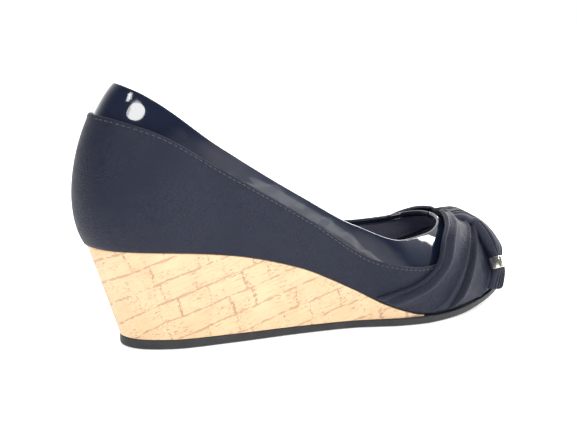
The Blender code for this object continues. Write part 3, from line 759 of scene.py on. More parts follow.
def make_upper():
    """Matte leather of both sides, lined, with its turned edge where the patent collar begins."""
    xs = stations(210, (SEAM_FRONT,))
    bulk = np.linspace(0, 1, 34)[:-1]
    edge = np.array(EDGE_STEPS)
    sheets = []
    for side in (-1, 1):
        end = np.where(xs < SEAM_FRONT - 1e-6, crossing(xs, side, seam_z), 1.0)
        _, run = shares_below(xs, side, end, edge)
        dist = run[:, None] - bulk[None, :] * (run[:, None] - edge[0])
        dist = np.concatenate([dist, np.broadcast_to(edge, (len(xs), len(edge)))], axis=1)
        t, _ = shares_below(xs, side, end, dist)
        open_here = np.clip((SEAM_FRONT - xs) / 12.0, 0, 1)[:, None]
        fold = TURNED_IN * (1 - step(1.2, 3.3, dist)) * open_here
        round_by = np.clip(EDGE_ROUND - dist, 0, EDGE_ROUND)
        drop = (EDGE_ROUND - np.sqrt(np.maximum(EDGE_ROUND ** 2 - round_by ** 2, 0))) * open_here
        full = xs[:, None] + 0 * t
        by = fold - drop - crease_depth(last(full, side, t), side)
        sheets.append((offset(full, side, t, by), offset(full, side, t, np.full(t.shape, -WALL))))
    for lateral, medial in zip(*sheets):
        closed = xs >= SEAM_FRONT - 1e-6
        mean = (lateral[closed, -1] + medial[closed, -1]) / 2
        lateral[closed, -1] = mean
        medial[closed, -1] = mean
        join_ends(lateral, medial)
    rows, cols = sheets[0][0].shape[:2]
    n = rows * cols
    points = np.concatenate([sheet.reshape(-1, 3) for pair in sheets for sheet in pair])
    faces = []
    index = []
    for base in (0, 2 * n):
        rim = [base + (i + 1) * cols - 1 for i in range(rows - 1) if xs[i + 1] <= SEAM_FRONT + 1e-6]
        outer = grid_faces(rows, cols, base)
        edges = strip_faces(range(base, base + (rows - 1) * cols, cols), cols, n) + strip_faces(rim, cols, n)
        faces += outer + edges + grid_faces(rows, cols, base + n)
        index += [0] * (len(outer) + len(edges)) + [1] * len(outer)
    return add_piece("upper_leather", points, faces, [MATTE, LINING], index, ("upper",))


STITCH_PITCH = 2.6
STITCH_LENGTH = 1.9
STITCH_BELOW = 1.75
THREAD_RADIUS = 0.20


def make_seam_stitches():
    """Row of stitches just under the folded edge of the matte leather."""
    points = []
    faces = []
    for side in (-1, 1):
        xs = np.linspace(BACK_X + 1.0, 0.775 * LENGTH, 150)
        t, _ = shares_below(xs, side, crossing(xs, side, seam_z), (STITCH_BELOW,))
        path = offset(xs, side, t[:, 0], np.full(len(xs), THREAD_RADIUS))
        add_stitches(points, faces, path, last_normal(xs, side, t[:, 0]))
    return add_piece("seam_stitches", np.concatenate(points), faces, [THREAD])


# Shape of a stitch: share along its length, radius and lift as shares of the thread's radius
STITCH = ((-0.50, 0.25, -0.75), (-0.42, 0.85, -0.10), (-0.2, 1.0, 0.35),
          (0.2, 1.0, 0.35), (0.42, 0.85, -0.10), (0.50, 0.25, -0.75))
STITCH_SIDES = 6


def add_stitches(points, faces, path, lift):
    """Adds small rounded stitches along a path that lies on a surface."""
    run = run_along(path[None])[0]
    count = int(run[-1] / STITCH_PITCH)
    shares = np.array([row[0] for row in STITCH])
    for d in (np.arange(count) + 0.5) * run[-1] / count:
        spine = sample(d + shares * STITCH_LENGTH, run, path)
        up = sample(d, run, lift)[0]
        tan = spine[-1] - spine[0]
        tan = tan / np.linalg.norm(tan)
        across = np.cross(tan, up)
        across = across / np.linalg.norm(across)
        up = np.cross(across, tan)
        base = sum(len(p) for p in points)
        block = []
        for (_, thick, high), p in zip(STITCH, spine):
            for k in range(STITCH_SIDES):
                a = 2 * np.pi * k / STITCH_SIDES
                raised = up * (high + thick * np.sin(a)) + across * (thick * np.cos(a))
                block.append(p + raised * THREAD_RADIUS)
        points.append(np.array(block))
        faces += tube_faces(len(STITCH), STITCH_SIDES, base)
        faces.append(tuple(base + k for k in range(STITCH_SIDES)))
        end = base + (len(STITCH) - 1) * STITCH_SIDES
        faces.append(tuple(end + k for k in reversed(range(STITCH_SIDES))))


# Collar, its lining and the binding
COLLAR_SLIP = 6.0
LINING_SLIP = 11.0
COLLAR_DEPTH = WALL + GAP
RIM = 1.05


def collar_paths(side, count, slip):
    """For one half: the start and end of each section of the collar, as (x, share) pairs."""
    low_front = SEAM_FRONT + slip
    u = np.linspace(0, 1, count)
    ease = np.sin(0.5 * np.pi * u) ** 1.15
    blend = 0.5 * (1 - np.cos(np.pi * u)) * (1 - u) + ease * u
    x_top = BACK_X + (TOP_FRONT - BACK_X) * blend
    x_low = BACK_X + (low_front - BACK_X) * blend

    def low_level(x):
        return seam_z(np.asarray(x) - along(x, (0.625, 0.833), (0, slip))) - slip * 0.9

    t_top = crossing(x_top, side, top_z)
    t_low = crossing(x_low, side, low_level)
    t_top[-1] = 1.0
    t_low[-1] = 1.0
    return np.column_stack([x_low, t_low, x_top, t_top])


def collar_sections(side, paths, columns):
    """Points of the sections: each column gives (share of the way down, distance down, offset)."""
    x0, t0, x1, t1 = (paths[:, k:k + 1] for k in range(4))
    v = np.linspace(0, 1, 160)[None, :]
    p = last(x0 + (x1 - x0) * v, side, t0 + (t1 - t0) * v)
    run = run_along(p)
    share, more, face = np.array(columns).T
    down = share[None, :] * run[:, -1:] + more[None, :]
    k = np.array([np.interp(r[-1] - d, r, v[0]) for r, d in zip(run, down)])
    x = x0 + (x1 - x0) * k
    extra = along(x, (0.687, 0.771), (0, 0.6))
    return offset(x, side, t0 + (t1 - t0) * k, face[None, :] - extra)


def collar_ring(name, paths, columns, mat, replaces=()):
    """A piece that runs round the whole collar with the same section."""
    lateral, medial = (collar_sections(side, paths[side], columns) for side in (-1, 1))
    join_ends(lateral, medial)
    loop = np.concatenate([lateral, medial[-2:0:-1]])
    faces = tube_faces(*loop.shape[:2], 0, True)
    return add_piece(name, loop.reshape(-1, 3), faces, [mat], None, replaces)


def rim_columns():
    """Outer face, rounded rim and inner face of the collar."""
    out = []
    for f in np.linspace(1, 0, 30) ** 1.35:
        out.append((f, RIM * (1 - f), -COLLAR_DEPTH + 0.12 * float(1 - step(0.02, 0.5, f))))
    mid = -COLLAR_DEPTH + 0.12 - RIM
    for a in np.linspace(0, np.pi, 15)[1:-1]:
        out.append((0.0, RIM * (1 - np.sin(a)), mid + RIM * np.cos(a)))
    inner = mid - RIM
    for f in np.linspace(0, 1, 16) ** 1.5:
        wall = inner + (-COLLAR_DEPTH - COLLAR_WALL - inner) * float(step(0.05, 0.7, f))
        out.append((f, RIM * (1 - f), wall))
    return out


LINING_TOP = 3.4
LINING_IN = -COLLAR_DEPTH + 0.12 - 2 * RIM
LINING_THICK = 0.45
BEAD = 0.42


def lining_columns():
    """Thin sheet inside the collar, running down on the inside of the upper."""
    front = []
    for f in np.linspace(0, 1, 26):
        face = LINING_IN - 0.06 + (-WALL - LINING_THICK - LINING_IN + 0.06) * float(step(0.35, 0.85, f))
        front.append((f, LINING_TOP * (1 - f), face))
    return front + [(f, more, face - LINING_THICK) for f, more, face in reversed(front)]


def bead_columns():
    """Fine glossy bead where the patent turns in over the lining."""
    turns = 2 * np.pi * np.arange(8) / 8
    return [(0.0, LINING_TOP - 0.15 + BEAD * np.cos(a), LINING_IN - 0.22 + BEAD * np.sin(a)) for a in turns]


# Drapes
def rounded(share):
    """Quarter circle from 0 at share 0 to 1 at share 1."""
    share = np.clip(share, 0, 1)
    return np.sqrt(share * (2 - share))


def fold_lines(vs):
    return np.array([smooth([(r[0], r[j + 1]) for r in FOLDS], vs) * LENGTH for j in range(6)])


def pleat_height(x, lines, slope):
    """Height of the pleats over the drape's base at columns x, and where their crests and valleys are, for a
    painted highlight on the crests and painted shade in the valleys.
    """
    total = np.zeros_like(x)
    rubbing_and_fold_shade = np.zeros_like(x)
    for j, (tall, behind, ahead) in enumerate(PLEATS):
        before = lines[j] - lines[j - 1] if j else 6.0
        scale = np.clip((lines[j + 1] - lines[j] + before) / 16.0, 0.45, 1.25)
        d = (x - lines[j]) * slope
        wide = np.where(d < 0, behind, ahead) * scale
        crisp = 1.15 if min(behind, ahead) < 0.8 else 1.8
        total = total + tall * np.exp(-np.abs(d / wide) ** crisp) * np.clip(scale, 0.6, 1.1)
        # Crest values give a painted highlight and fold-foot values painted shade in the leather's colour
        if crisp < 1.5:
            foot = -1.4 if behind < ahead else 1.4
            total = total + 0.5 * np.exp(-(d / 0.42) ** 2) - 0.6 * np.exp(-((d - foot) / 0.6) ** 2)
            rubbing_and_fold_shade = rubbing_and_fold_shade + np.exp(-(d / 0.5) ** 2) - 1.1 * np.exp(-((d - foot) / 0.8) ** 2)
        else:
            rubbing_and_fold_shade = rubbing_and_fold_shade + 0.55 * np.exp(-(d / (0.5 * wide)) ** 2)
    return total, rubbing_and_fold_shade


def fullness(x, t):
    """Extra thickness of the drape where it is gathered under the band."""
    return smooth(FULLNESS, np.asarray(x) / LENGTH) * step(0.38, 0.76, t)


MEDIAL_BACK = 3.2


def make_drape(name, side, node):
    """Pleated leather on one side, from the sole up to the middle, as an outer and an inner sheet."""
    vs = SWATH_LOW + (1 - SWATH_LOW) * np.linspace(0, 1, 96)
    lines = fold_lines(vs)
    if side > 0:
        lines[0] = lines[0] + MEDIAL_BACK * step(0.3, 0.7, vs)
    shares = (1 - np.cos(np.pi * np.linspace(0, 1, 27)[:-1])) / 2
    columns = []
    for j in range(5):
        for s in shares:
            columns.append(lines[j] + (lines[j + 1] - lines[j]) * s)
    columns.append(lines[5])
    x = np.array(columns)
    v = np.broadcast_to(vs, x.shape)
    t = v * SWATH_TOP
    lean = np.array([np.gradient(line, vs) for line in lines]).mean(axis=0)
    up = last(lines[2], side, np.clip(vs * SWATH_TOP + 0.01, 0, 1)) - last(lines[2], side, vs * SWATH_TOP)
    rise = np.linalg.norm(up, axis=1) / 0.01 * SWATH_TOP
    slope = rise / np.sqrt(rise ** 2 + lean ** 2)
    fade = np.interp(vs, (0, 0.10, 0.80, 1.0), (0.35, 1.0, 1.0, 0.55))
    height, rubbing_and_fold_shade = pleat_height(x, lines, slope[None, :])
    height = height * fade[None, :]
    edge = (x - lines[0]) * slope[None, :]
    round_edge = rounded(edge / 1.1)
    bottom = rounded((vs - SWATH_LOW) / 0.03)
    hem_roll = 0.8 * np.exp(-((edge - 1.0) / 0.75) ** 2) - 0.35 * np.exp(-((edge - 2.6) / 0.6) ** 2)
    height = height + hem_roll * fade[None, :]
    by = (SWATH_BASE + np.maximum(height, -0.6)) * (0.15 + 0.85 * round_edge)
    by = by * (0.25 + 0.75 * bottom)[None, :]
    outer = offset(x, side, t, GAP + by + fullness(x, t) * round_edge)
    inner = offset(x, side, t, np.full(x.shape, GAP))
    rows, cols = outer.shape[:2]
    n = rows * cols
    points = np.concatenate([outer.reshape(-1, 3), inner.reshape(-1, 3)])
    faces = grid_faces(rows, cols) + grid_faces(rows, cols, n)
    for start in (0, cols - 1):
        faces += strip_faces(range(start, (rows - 1) * cols, cols), cols, n)
    for start in (0, (rows - 1) * cols):
        faces += strip_faces(range(start, start + cols - 1), 1, n)
    # Painted highlight on the pleat crests and painted shade in their valleys, on the outer sheet only
    painted_fold_shading = np.concatenate([rubbing_and_fold_shade.ravel(), np.zeros(n)])
    return add_piece(name, points, faces, [MATTE], None, (node,), painted_fold_shading=painted_fold_shading)


# Centre band and keeper
DRAPE_RISE = 0.9


def band_frame(s):
    """Points of the band's run with its direction, the direction across it and the one up from it."""
    k = np.linspace(0, len(RUN) - 1, 141)
    x = smooth([(i, r[0]) for i, r in enumerate(RUN)], k) * LENGTH
    t = smooth([(i, r[1]) for i, r in enumerate(RUN)], k)
    path = last(x, -1, t)
    nor = last_normal(x, -1, t)
    run = run_along(path[None])[0]
    run = run / run[-1]
    tan = sample(np.clip(s + 0.06, 0, 1), run, path) - sample(np.clip(s - 0.06, 0, 1), run, path)
    tan = tan / np.linalg.norm(tan, axis=1, keepdims=True)
    across = np.cross(sample(s, run, nor), tan)
    across = across / np.linalg.norm(across, axis=1, keepdims=True)
    return sample(s, run, path), tan, across, np.cross(tan, across)


def drape_envelope():
    """Points a little outside the drape, round the toe, with the directions they face."""
    u = np.linspace(0, 1, 150)
    x = TOP_FRONT - 8 + (FRONT_X - 0.05 - TOP_FRONT + 8) * np.sin(0.5 * np.pi * u)
    t = np.linspace(0.02, 1.0, 110)
    gx, gt = np.meshgrid(x, t)
    by = GAP + SWATH_BASE + DRAPE_RISE + fullness(gx.ravel(), gt.ravel())
    points = np.concatenate([offset(gx.ravel(), side, gt.ravel(), by) for side in (-1, 1)])
    facing = np.concatenate([last_normal(gx.ravel(), side, gt.ravel()) for side in (-1, 1)])
    return points, facing


def height_along(envelope, start, way):
    """Distance from start to the envelope, along a unit direction."""
    points, facing = envelope
    d = points[facing @ way > 0.2] - start
    h = d @ way
    off = np.sum(d * d, axis=1) - h * h
    near = np.argpartition(off, 6)[:6]
    weight = 1 / (off[near] + 0.01)
    return float(np.sum(h[near] * weight) / np.sum(weight))


def band_seats(s):
    """For each place along the band: its middle on the drape, its side and up directions, and its rows."""
    envelope = drape_envelope()
    p, tan, across, nor = band_frame(s)
    rows = np.array([smooth([(r[0], r[k]) for r in BAND], s) for k in range(1, 6)]).T
    seats = []
    for i in range(len(s)):
        half = rows[i, 0]
        y = np.linspace(-0.8, 0.8, 5) * half
        h = [height_along(envelope, p[i] + across[i] * v, nor[i]) for v in y]
        slope, level = np.polyfit(y, h, 1)
        lean = np.arctan(slope)
        middle = p[i] + nor[i] * level
        side = across[i] * np.cos(lean) + nor[i] * np.sin(lean)
        up = nor[i] * np.cos(lean) - across[i] * np.sin(lean)
        y = np.linspace(-1, 1, 15) * half
        h = np.array([height_along(envelope, middle + side * v, up) for v in y])
        curve = np.polyfit(y, h, 4)
        curve[-1] += np.max(h - np.polyval(curve, y))
        flat = np.max(np.polyval(curve, y))
        seats.append((middle, side, up, tan[i], curve, flat, rows[i]))
    return seats


def even(values, turns):
    """Evens a table of rows out along the run."""
    for _ in range(turns):
        inside = (values[:-2] + 2 * values[1:-1] + values[2:]) / 4
        values = np.concatenate([values[:1], inside, values[-1:]])
    return values


# Share by which each of the six folds is calmed in the middle of the band
BAND_CALM = (0.0, 0.8, 1.0, 0.2, 0.0, 0.0)
BAND_SINK = 2.0
REAR_TUCK = 2.6


def make_band():
    """Folded band that gathers the drapes, down to the sole at the outer side."""
    s = np.linspace(0, 1, 150)
    seats = band_seats(s)
    middle, side, up, _, curve, flat, rows = (even(np.array(column), 14) for column in zip(*seats))
    u = -np.cos(np.linspace(0, np.pi, 121))
    u = u + 0.35 * (np.linspace(-1, 1, 121) - u)
    places = np.array([smooth([(r[0], r[k + 1]) for r in BAND_FOLDS], s) for k in range(6)])
    rings = []
    rubbing_and_fold_shade = []
    for i in range(len(s)):
        half, thick, lift, depth, follow = rows[i]
        dome = (1 - np.abs(u) ** 3.2) ** 0.6
        cut = np.zeros_like(u)
        for k in range(6):
            d = (u - places[k, i]) * half
            fold = np.where(d < 0, np.exp(-np.abs(d / 0.95) ** 1.3), np.exp(-np.abs(d / 0.28) ** 1.5))
            calm = float(step(0.22, 0.42, s[i]) * (1 - step(0.68, 0.78, s[i])))
            cut = cut + fold * (1 - calm * BAND_CALM[k])
        hem = np.exp(-((u + 0.93) * half / 0.85) ** 2)
        under = lift + flat[i] + (np.polyval(curve[i], u * half) - flat[i]) * follow
        cut = depth * 1.25 * np.clip(cut, 0, 1) * np.sqrt(1 - u * u)
        height = under + np.maximum(thick * dome - cut + 1.1 * hem, 0.9)
        # Painted highlight along the hem and painted shade in the fold cuts
        rubbing_and_fold_shade.append(np.concatenate([0.7 * hem - 0.8 * np.clip(cut / max(depth, 0.3), 0, 1), np.zeros(24)]))
        height[0] = under[0] + 0.6
        height[-1] = under[-1] + 0.6
        pinch = float(np.exp(-((s[i] - KEEPER_AT) / 0.05) ** 2))
        far = 0.30 * float(step(0.84, 0.97, s[i])) + 0.10 * pinch
        reach = half * (1 - 0.14 * pinch - far * (u > 0) * np.abs(u))
        top = middle[i] + side[i] * (u * reach)[:, None] + up[i] * height[:, None]
        y = np.linspace(1, -1, 24)
        y = y * np.interp(y, u, reach) * 0.985
        low = lift + flat[i] + (np.polyval(curve[i], y) - flat[i]) * follow - BAND_SINK
        low = middle[i] + side[i] * y[:, None] + up[i] * low[:, None]
        tuck = up[i] * (REAR_TUCK * (1 - step(0.0, 0.16, s[i])))
        rings.append(np.concatenate([top, low]) - tuck)
    rings = np.array(rings)
    lowest = feather_z(np.clip(rings[..., 0], 0, LENGTH)) + HEM_RISE
    rings[..., 2] = np.maximum(rings[..., 2], lowest)
    rows, n = rings.shape[:2]
    faces = tube_faces(rows, n)
    faces.append(tuple(range(n)))
    faces.append(tuple((rows - 1) * n + j for j in reversed(range(n))))
    return add_piece("knot_band_folds", rings.reshape(-1, 3), faces, [MATTE], None,
                     ("knot_band",), painted_fold_shading=np.array(rubbing_and_fold_shade).ravel())


KEEPER_TURN = 15.0
KEEPER_FAR_IN = 1.1
KEEPER_CORNER = 1.0
KEEPER_EDGE = 0.22


def corners(places, count):
    """Round the corners of a box: the centre of each corner's arc, with the direction out from it."""
    out = []
    for k, (y, z) in enumerate(places):
        for a in np.radians(90 * (k + np.linspace(0, 1, count))):
            out.append((y, z, np.cos(a), np.sin(a)))
    return out


def make_keeper():
    """Metal loop with rounded corners and edges, round the narrow part of the band."""
    middle, side, up, tan, _, flat, row = band_seats(np.array((KEEPER_AT,)))[0]
    half, thick, lift = row[:3]
    turn = math.radians(KEEPER_TURN)
    tan, side = tan * np.cos(turn) + side * np.sin(turn), side * np.cos(turn) - tan * np.sin(turn)
    reach = half + KEEPER_ROOM - KEEPER_CORNER
    far = reach - KEEPER_FAR_IN
    low = flat + lift - KEEPER_ROOM + KEEPER_CORNER
    high = flat + lift + thick + KEEPER_ROOM - KEEPER_CORNER
    path = corners(((far, high), (-reach, high), (-reach, low), (far, low)), 9)
    end = KEEPER_LENGTH / 2 - KEEPER_EDGE
    outer = KEEPER_WALL - KEEPER_EDGE
    profile = corners(((end, outer), (-end, outer), (-end, KEEPER_EDGE), (end, KEEPER_EDGE)), 4)
    points = []
    for cy, cz, ny, nz in path:
        for along_by, out_by, cos, sin in profile:
            out_by = KEEPER_CORNER + out_by + KEEPER_EDGE * sin
            along_by = along_by + KEEPER_EDGE * cos
            points.append(middle + tan * along_by + up * (cz + nz * out_by) + side * (cy + ny * out_by))
    faces = tube_faces(len(path), len(profile), 0, True)
    return add_piece("keeper_loop", points, faces, [METAL], None, ("keeper",))


# Sole pieces
def ring(xs, out_by, z_of, shrink=None, shift=None):
    """Closed ring of points at the stations, lateral side first; z from x."""
    ahead = np.clip(xs + 0.05, BACK_X, FRONT_X)
    behind = np.clip(xs - 0.05, BACK_X, FRONT_X)
    halves = []
    for side in (-1, 1):
        n = np.column_stack([plan_y(ahead, side) - plan_y(behind, side), behind - ahead]) * (-side)
        n[xs <= BACK_X + 1e-6] = (-1.0, 0.0)
        n[xs >= FRONT_X - 1e-6] = (1.0, 0.0)
        n = n / np.linalg.norm(n, axis=1, keepdims=True)
        q = np.column_stack([xs, plan_y(xs, side)]) + n * np.reshape(out_by(xs), (-1, 1))
        if shrink is not None:
            q = np.column_stack([q[:, 0] + shift(xs), q[:, 1] * shrink(xs)])
        halves.append(q)
    points = np.concatenate([halves[0], halves[1][-2:0:-1]])
    return np.column_stack([points, z_of(points[:, 0])])


def ladder(edge, count):
    """Rows of points straight across a ring, with their distance from one side and each row's width."""
    half = len(edge) // 2 + 1
    share = np.linspace(0, 1, count)
    a = edge[:half][:, None]
    b = edge[-np.arange(half)][:, None]
    width = np.abs(b - a)[..., 1]
    return a + (b - a) * share[:, None], share * width, width


def sole_bottom(x):
    rows = ((0.0, 0.0), (0.700, 0.0), (0.771, 0.05), (0.854, 0.30), (0.9375, 0.66), (1.0, 1.0))
    return smooth(rows, np.clip(x, 0, LENGTH) / LENGTH) * TOE_SPRING


def sole_thick(x):
    return along(x, (0, 0.417, 0.833), (5.0, 4.0, 3.6))


def sole_shrink(x):
    return 1 - 0.254 * eased(x, (0, 0.417, 0.625, 0.687), (1, 0.6, 0.1, 0))


def sole_shift(x):
    return HEEL_RAKE * eased(x, (0, 0.25, 0.458), (1, 0.4, 0))


def sole_out(x):
    return along(x, (0.521, 0.687), (0.0, 1.8))


def sole_top(x):
    under = sole_bottom(x) + sole_thick(x)
    ahead = feather_z(x) - SOLE_GAP
    blend = step(WEDGE_TIP_X, WEDGE_TIP_X + 3.0, x)
    return np.minimum(under, ahead) * (1 - blend) + ahead * blend


SOLE_ROUND = 1.3
SOLE_TOP_ROUND = 0.5
TREAD_DEPTH = 0.7
TREAD_PITCH = 5.4


def make_outsole():
    """Outsole with ribs across the ball and the heel, in from a plain border."""
    xs = stations(220, ())

    def r(inset, z_of):
        return ring(xs, lambda x: sole_out(x) - inset, z_of, sole_shrink, sole_shift)

    def side(x, share):
        rise = sole_top(x) - sole_bottom(x) - SOLE_ROUND - SOLE_TOP_ROUND
        return sole_bottom(x) + SOLE_ROUND + rise * share

    rings = []
    for a in np.radians(np.linspace(0, 90, 7)):
        up = SOLE_ROUND * (1 - math.cos(a))
        rings.append(r(SOLE_ROUND * (1 - math.sin(a)), lambda x, up=up: sole_bottom(x) + up))
    rings += [r(0.0, lambda x, share=share: side(x, share)) for share in (0.25, 0.5, 0.75)]
    for inset, drop in ((0.0, SOLE_TOP_ROUND), (0.12, 0.18), (0.5, 0.0)):
        rings.append(r(inset, lambda x, drop=drop: sole_top(x) - drop))
    n = len(rings[0])
    faces = tube_faces(len(rings), n) + cap_faces((len(rings) - 1) * n, n, False)
    tread, near, width = ladder(rings[0], 41)
    inner = step(3.0, 4.4, near) * step(3.0, 4.4, width - near)
    x = tread[..., 0]
    share = x / LENGTH
    zone = step(0.555, 0.575, share) * (1 - step(0.925, 0.945, share))
    zone = zone + step(0.10, 0.12, share) * (1 - step(0.285, 0.305, share))
    wave = np.sin(2 * np.pi * (x + 1.6 * np.sin(tread[..., 1] / 4.5)) / TREAD_PITCH)
    tread[..., 2] = sole_bottom(x) + TREAD_DEPTH * step(-0.1, 0.55, wave) * inner * zone
    faces += grid_faces(*tread.shape[:2], len(rings) * n)
    points = np.concatenate(rings + [tread.reshape(-1, 3)])
    return add_piece("outsole_rubber", points, faces, [RUBBER], None, ("outsole",))


def make_wedge():
    """Wedge between the outsole and the upper, with softly rounded edges."""
    xs = stations(200, ())
    xs = np.append(xs[xs < WEDGE_TIP_X - 0.6], WEDGE_TIP_X)
    sides = []
    for side in (-1, 1):
        y = plan_y(xs, side)
        low = np.column_stack([xs + sole_shift(xs), y * sole_shrink(xs)])
        tuck = along(xs, (0, 0.1), (1.3, 0.3))
        back = along(xs, (0.04, 0.06), (1, 0))
        top = np.column_stack([xs + tuck * back, y * (1 - 0.02 * tuck)])
        sides.append((low, top))
    steps = np.concatenate([[0.0, 0.006, 0.02], np.linspace(0.05, 0.95, 19), [0.98, 0.994, 1.0]])
    rings = []
    for s in steps:
        pts = []
        for low, top in sides:
            plan = low + (top - low) * s
            edge = 0.28 * (1 - np.sqrt(np.clip(1 - (1 - np.clip(min(s, 1 - s) / 0.02, 0, 1)) ** 2, 0, 1)))
            waist = 0.35 * math.sin(math.pi * s) * along(plan[:, 0], (0.0, 0.15, 0.55), (1.0, 1.0, 0.0))
            plan[:, 1] = plan[:, 1] - np.sign(plan[:, 1]) * (edge + waist)
            zl = sole_bottom(low[:, 0]) + sole_thick(low[:, 0]) + 0.02
            zt = feather_z(top[:, 0]) - SOLE_GAP
            pts.append(np.column_stack([plan, zl + (zt - zl) * s]))
        lat, med = pts
        rings.append(np.concatenate([lat, med[:0:-1]]))
    n = len(rings[0])
    faces = tube_faces(len(rings), n)
    faces += cap_faces(0, n, True) + cap_faces((len(rings) - 1) * n, n, False)
    obj = add_piece("wedge_cork", np.concatenate(rings), faces, [CORK], None, ("wedge",))
    wrap_coordinates(obj)
    return obj


# Where the print turns round the heel, and its run from there to the back (mm)
WRAP_FROM = 34.0
WRAP_RUN = 42.0


def wrap_coordinates(obj):
    """Lays the print round the wedge: distance round the heel and height, in metres."""
    mesh = obj.data
    layer = mesh.uv_layers.new(name="wrap")
    for loop in mesh.loops:
        co = mesh.vertices[loop.vertex_index].co
        x = co.x / MM - ORIGIN[0] - WRAP_FROM
        y = co.y / MM - ORIGIN[1]
        if x > 0:
            u = math.copysign(x + WRAP_RUN, y)
        else:
            u = math.atan2(y, -x) / (math.pi / 2) * WRAP_RUN
        layer.data[loop.index].uv = (-u * MM, co.z)


GROOVE_IN = 3.2
GROOVE_WIDTH = 0.55
GROOVE_DEPTH = 0.28


def make_insole():
    """Insole with a rounded edge and a shallow groove near its rim."""
    xs = stations(170, ())

    def inset(x):
        return -(WALL + 0.5 + along(x, (0.79, 0.94), (0.0, 1.2)))

    def r(more, up):
        return ring(xs, lambda x: inset(x) - more, lambda x: feather_z(x) + up)

    edge = ((0.0, 0.0), (0.0, 0.8), (0.0, 1.5), (0.06, 1.8), (0.22, 2.1), (0.5, 2.32), (0.9, 2.4))
    rings = [r(more, up) for more, up in edge]
    n = len(rings[0])
    faces = tube_faces(len(rings), n) + cap_faces(0, n, True)
    sheet, near, width = ladder(rings[-1], 31)
    rim = np.minimum(near, width - near)
    sheet[..., 2] -= GROOVE_DEPTH * np.exp(-((rim - GROOVE_IN) / GROOVE_WIDTH) ** 2) * (width > 12)
    faces += grid_faces(*sheet.shape[:2], len(rings) * n)
    points = np.concatenate(rings + [sheet.reshape(-1, 3)])
    return add_piece("insole_sock", points, faces, [LINING], None, ("insole",))


make_upper()
make_seam_stitches()
COLLAR_PATHS = {side: collar_paths(side, 150, COLLAR_SLIP) for side in (-1, 1)}
LINING_PATHS = {side: collar_paths(side, 130, LINING_SLIP) for side in (-1, 1)}
collar_ring("collar_patent", COLLAR_PATHS, rim_columns(), PATENT, ("collar",))
collar_ring("collar_binding", COLLAR_PATHS, bead_columns(), PATENT)
collar_ring("collar_lining", LINING_PATHS, lining_columns(), LINING)
make_drape("drape_lateral_pleats", -1, "drape_lateral")
make_drape("drape_medial_pleats", 1, "drape_medial")
make_band()
make_keeper()
make_outsole()
make_wedge()
make_insole()

# Floor, light and camera
AIM = np.array((120.0, 0.0, 50.0))
TURN = math.radians(29.37)
TILT = math.radians(12.36)
ROLL = math.radians(-1.13)
RANGE = 523.6
ACROSS = 13.2
ABOVE = -0.03
LENS = 67.05


def make_camera():
    ahead = np.array((math.sin(TURN) * math.cos(TILT), math.cos(TURN) * math.cos(TILT), -math.sin(TILT)))
    right = np.array((math.cos(TURN), -math.sin(TURN), 0.0))
    up = np.cross(right, ahead)
    place = (AIM + ORIGIN - ACROSS * right - ABOVE * up - RANGE * ahead) * MM
    side = math.cos(ROLL) * right - math.sin(ROLL) * up
    top = math.sin(ROLL) * right + math.cos(ROLL) * up
    data = bpy.data.cameras.new("camera")
    data.lens = LENS
    data.sensor_width = 36.0
    data.clip_start = 0.01
    data.clip_end = 20.0
    cam = place_object("camera", data)
    m = Matrix.Identity(4)
    for k in range(3):
        m[k][0] = side[k]
        m[k][1] = top[k]
        m[k][2] = -ahead[k]
        m[k][3] = place[k]
    cam.matrix_world = m
    bpy.context.scene.camera = cam


FLOOR_REACH = 3.0
FLOOR_Z = -0.0002


def make_floor():
    mesh = bpy.data.meshes.new("floor")
    sides = ((-FLOOR_REACH, -FLOOR_REACH), (FLOOR_REACH, -FLOOR_REACH), (FLOOR_REACH, FLOOR_REACH),
             (-FLOOR_REACH, FLOOR_REACH))
    mesh.from_pydata([(x, y, FLOOR_Z) for x, y in sides], [], [(0, 1, 2, 3)])
    m = material("floor_white")
    m.set(colour=rgb(0.93, 0.93, 0.93), rough=0.85, specular=0.2, glow=rgb(1, 1, 1), glow_strength=0.58)
    mesh.materials.append(m.data)
    place_object("floor", mesh)


ROOM = 0.13
BACKDROP = 1.7
SIDE_WALL = 1.3
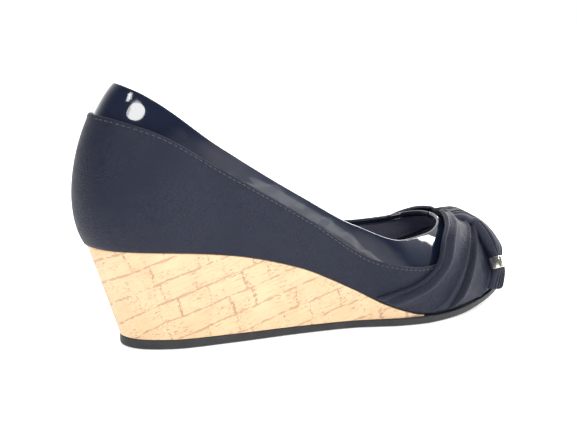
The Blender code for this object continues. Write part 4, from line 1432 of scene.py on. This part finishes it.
# Name, place, what it faces (m), width, height (m), power (W)
SOFTBOXES = (
    ("key", (-0.50, -0.90, 1.02), (-0.08, 0.0, 0.09), 0.60, 0.28, 7.9),
    ("rear_strip", (-0.62, -0.52, 1.15), (-0.10, 0.0, 0.10), 0.10, 0.22, 1.8),
    ("toe_box", (1.25, -0.33, 0.76), (0.07, 0.0, 0.04), 0.15, 0.20, 2.6),
    ("low_strip", (0.95, -1.53, 0.09), (0.0, 0.0, 0.07), 1.60, 0.10, 1.2),
    ("over", (0.25, -0.45, 1.15), (0.0, 0.0, 0.04), 0.30, 0.24, 2.0),
    ("back_strip", (1.28, 0.60, 0.66), (0.05, 0.0, 0.06), 1.00, 0.36, 12.0),
    ("toe_side", (1.20, -0.42, 0.25), (0.10, 0.0, 0.03), 0.25, 0.20, 3.0),
)


def add_softbox(name, place, target, width, height, power):
    data = bpy.data.lights.new(name, "AREA")
    data.shape = "ELLIPSE" if name == "key" else "RECTANGLE"
    data.size = width
    data.size_y = height
    data.energy = power
    obj = place_object(name, data)
    obj.location = place
    obj.rotation_euler = (Vector(target) - Vector(place)).to_track_quat("-Z", "Y").to_euler()


def make_light():
    """White backdrop ahead of the camera, a dim room behind it with one pale wall, and softboxes."""
    m = Nodes(bpy.data.worlds.new("studio"))
    way = m.add("TexCoord", "Generated", {})

    def glow(toward, start, full, low, high):
        lean = m.add("VectorMath", "Value", {0: way, 1: toward}, operation="DOT_PRODUCT")
        return m.remap(lean, start, full, low, high)

    room = glow((0.62, 0.78, 0.10), -0.25, 0.75, ROOM, BACKDROP)
    wall = glow((0.27, -0.96, -0.03), 0.85, 0.99, 0.0, SIDE_WALL)
    seen = m.add("LightPath", "Is Camera Ray", {})
    colour = m.add("Mix", 0, {0: seen, 2: m.math("ADD", room, wall), 3: 1.0})
    m.put(m.tree.nodes["Background"].inputs["Color"], colour)
    bpy.context.scene.world = m.data
    for name, place, target, width, height, power in SOFTBOXES:
        add_softbox(name, place, target, width, height, power)


make_camera()
make_floor()
make_light()
bpy.context.scene.view_settings.view_transform = "Standard"
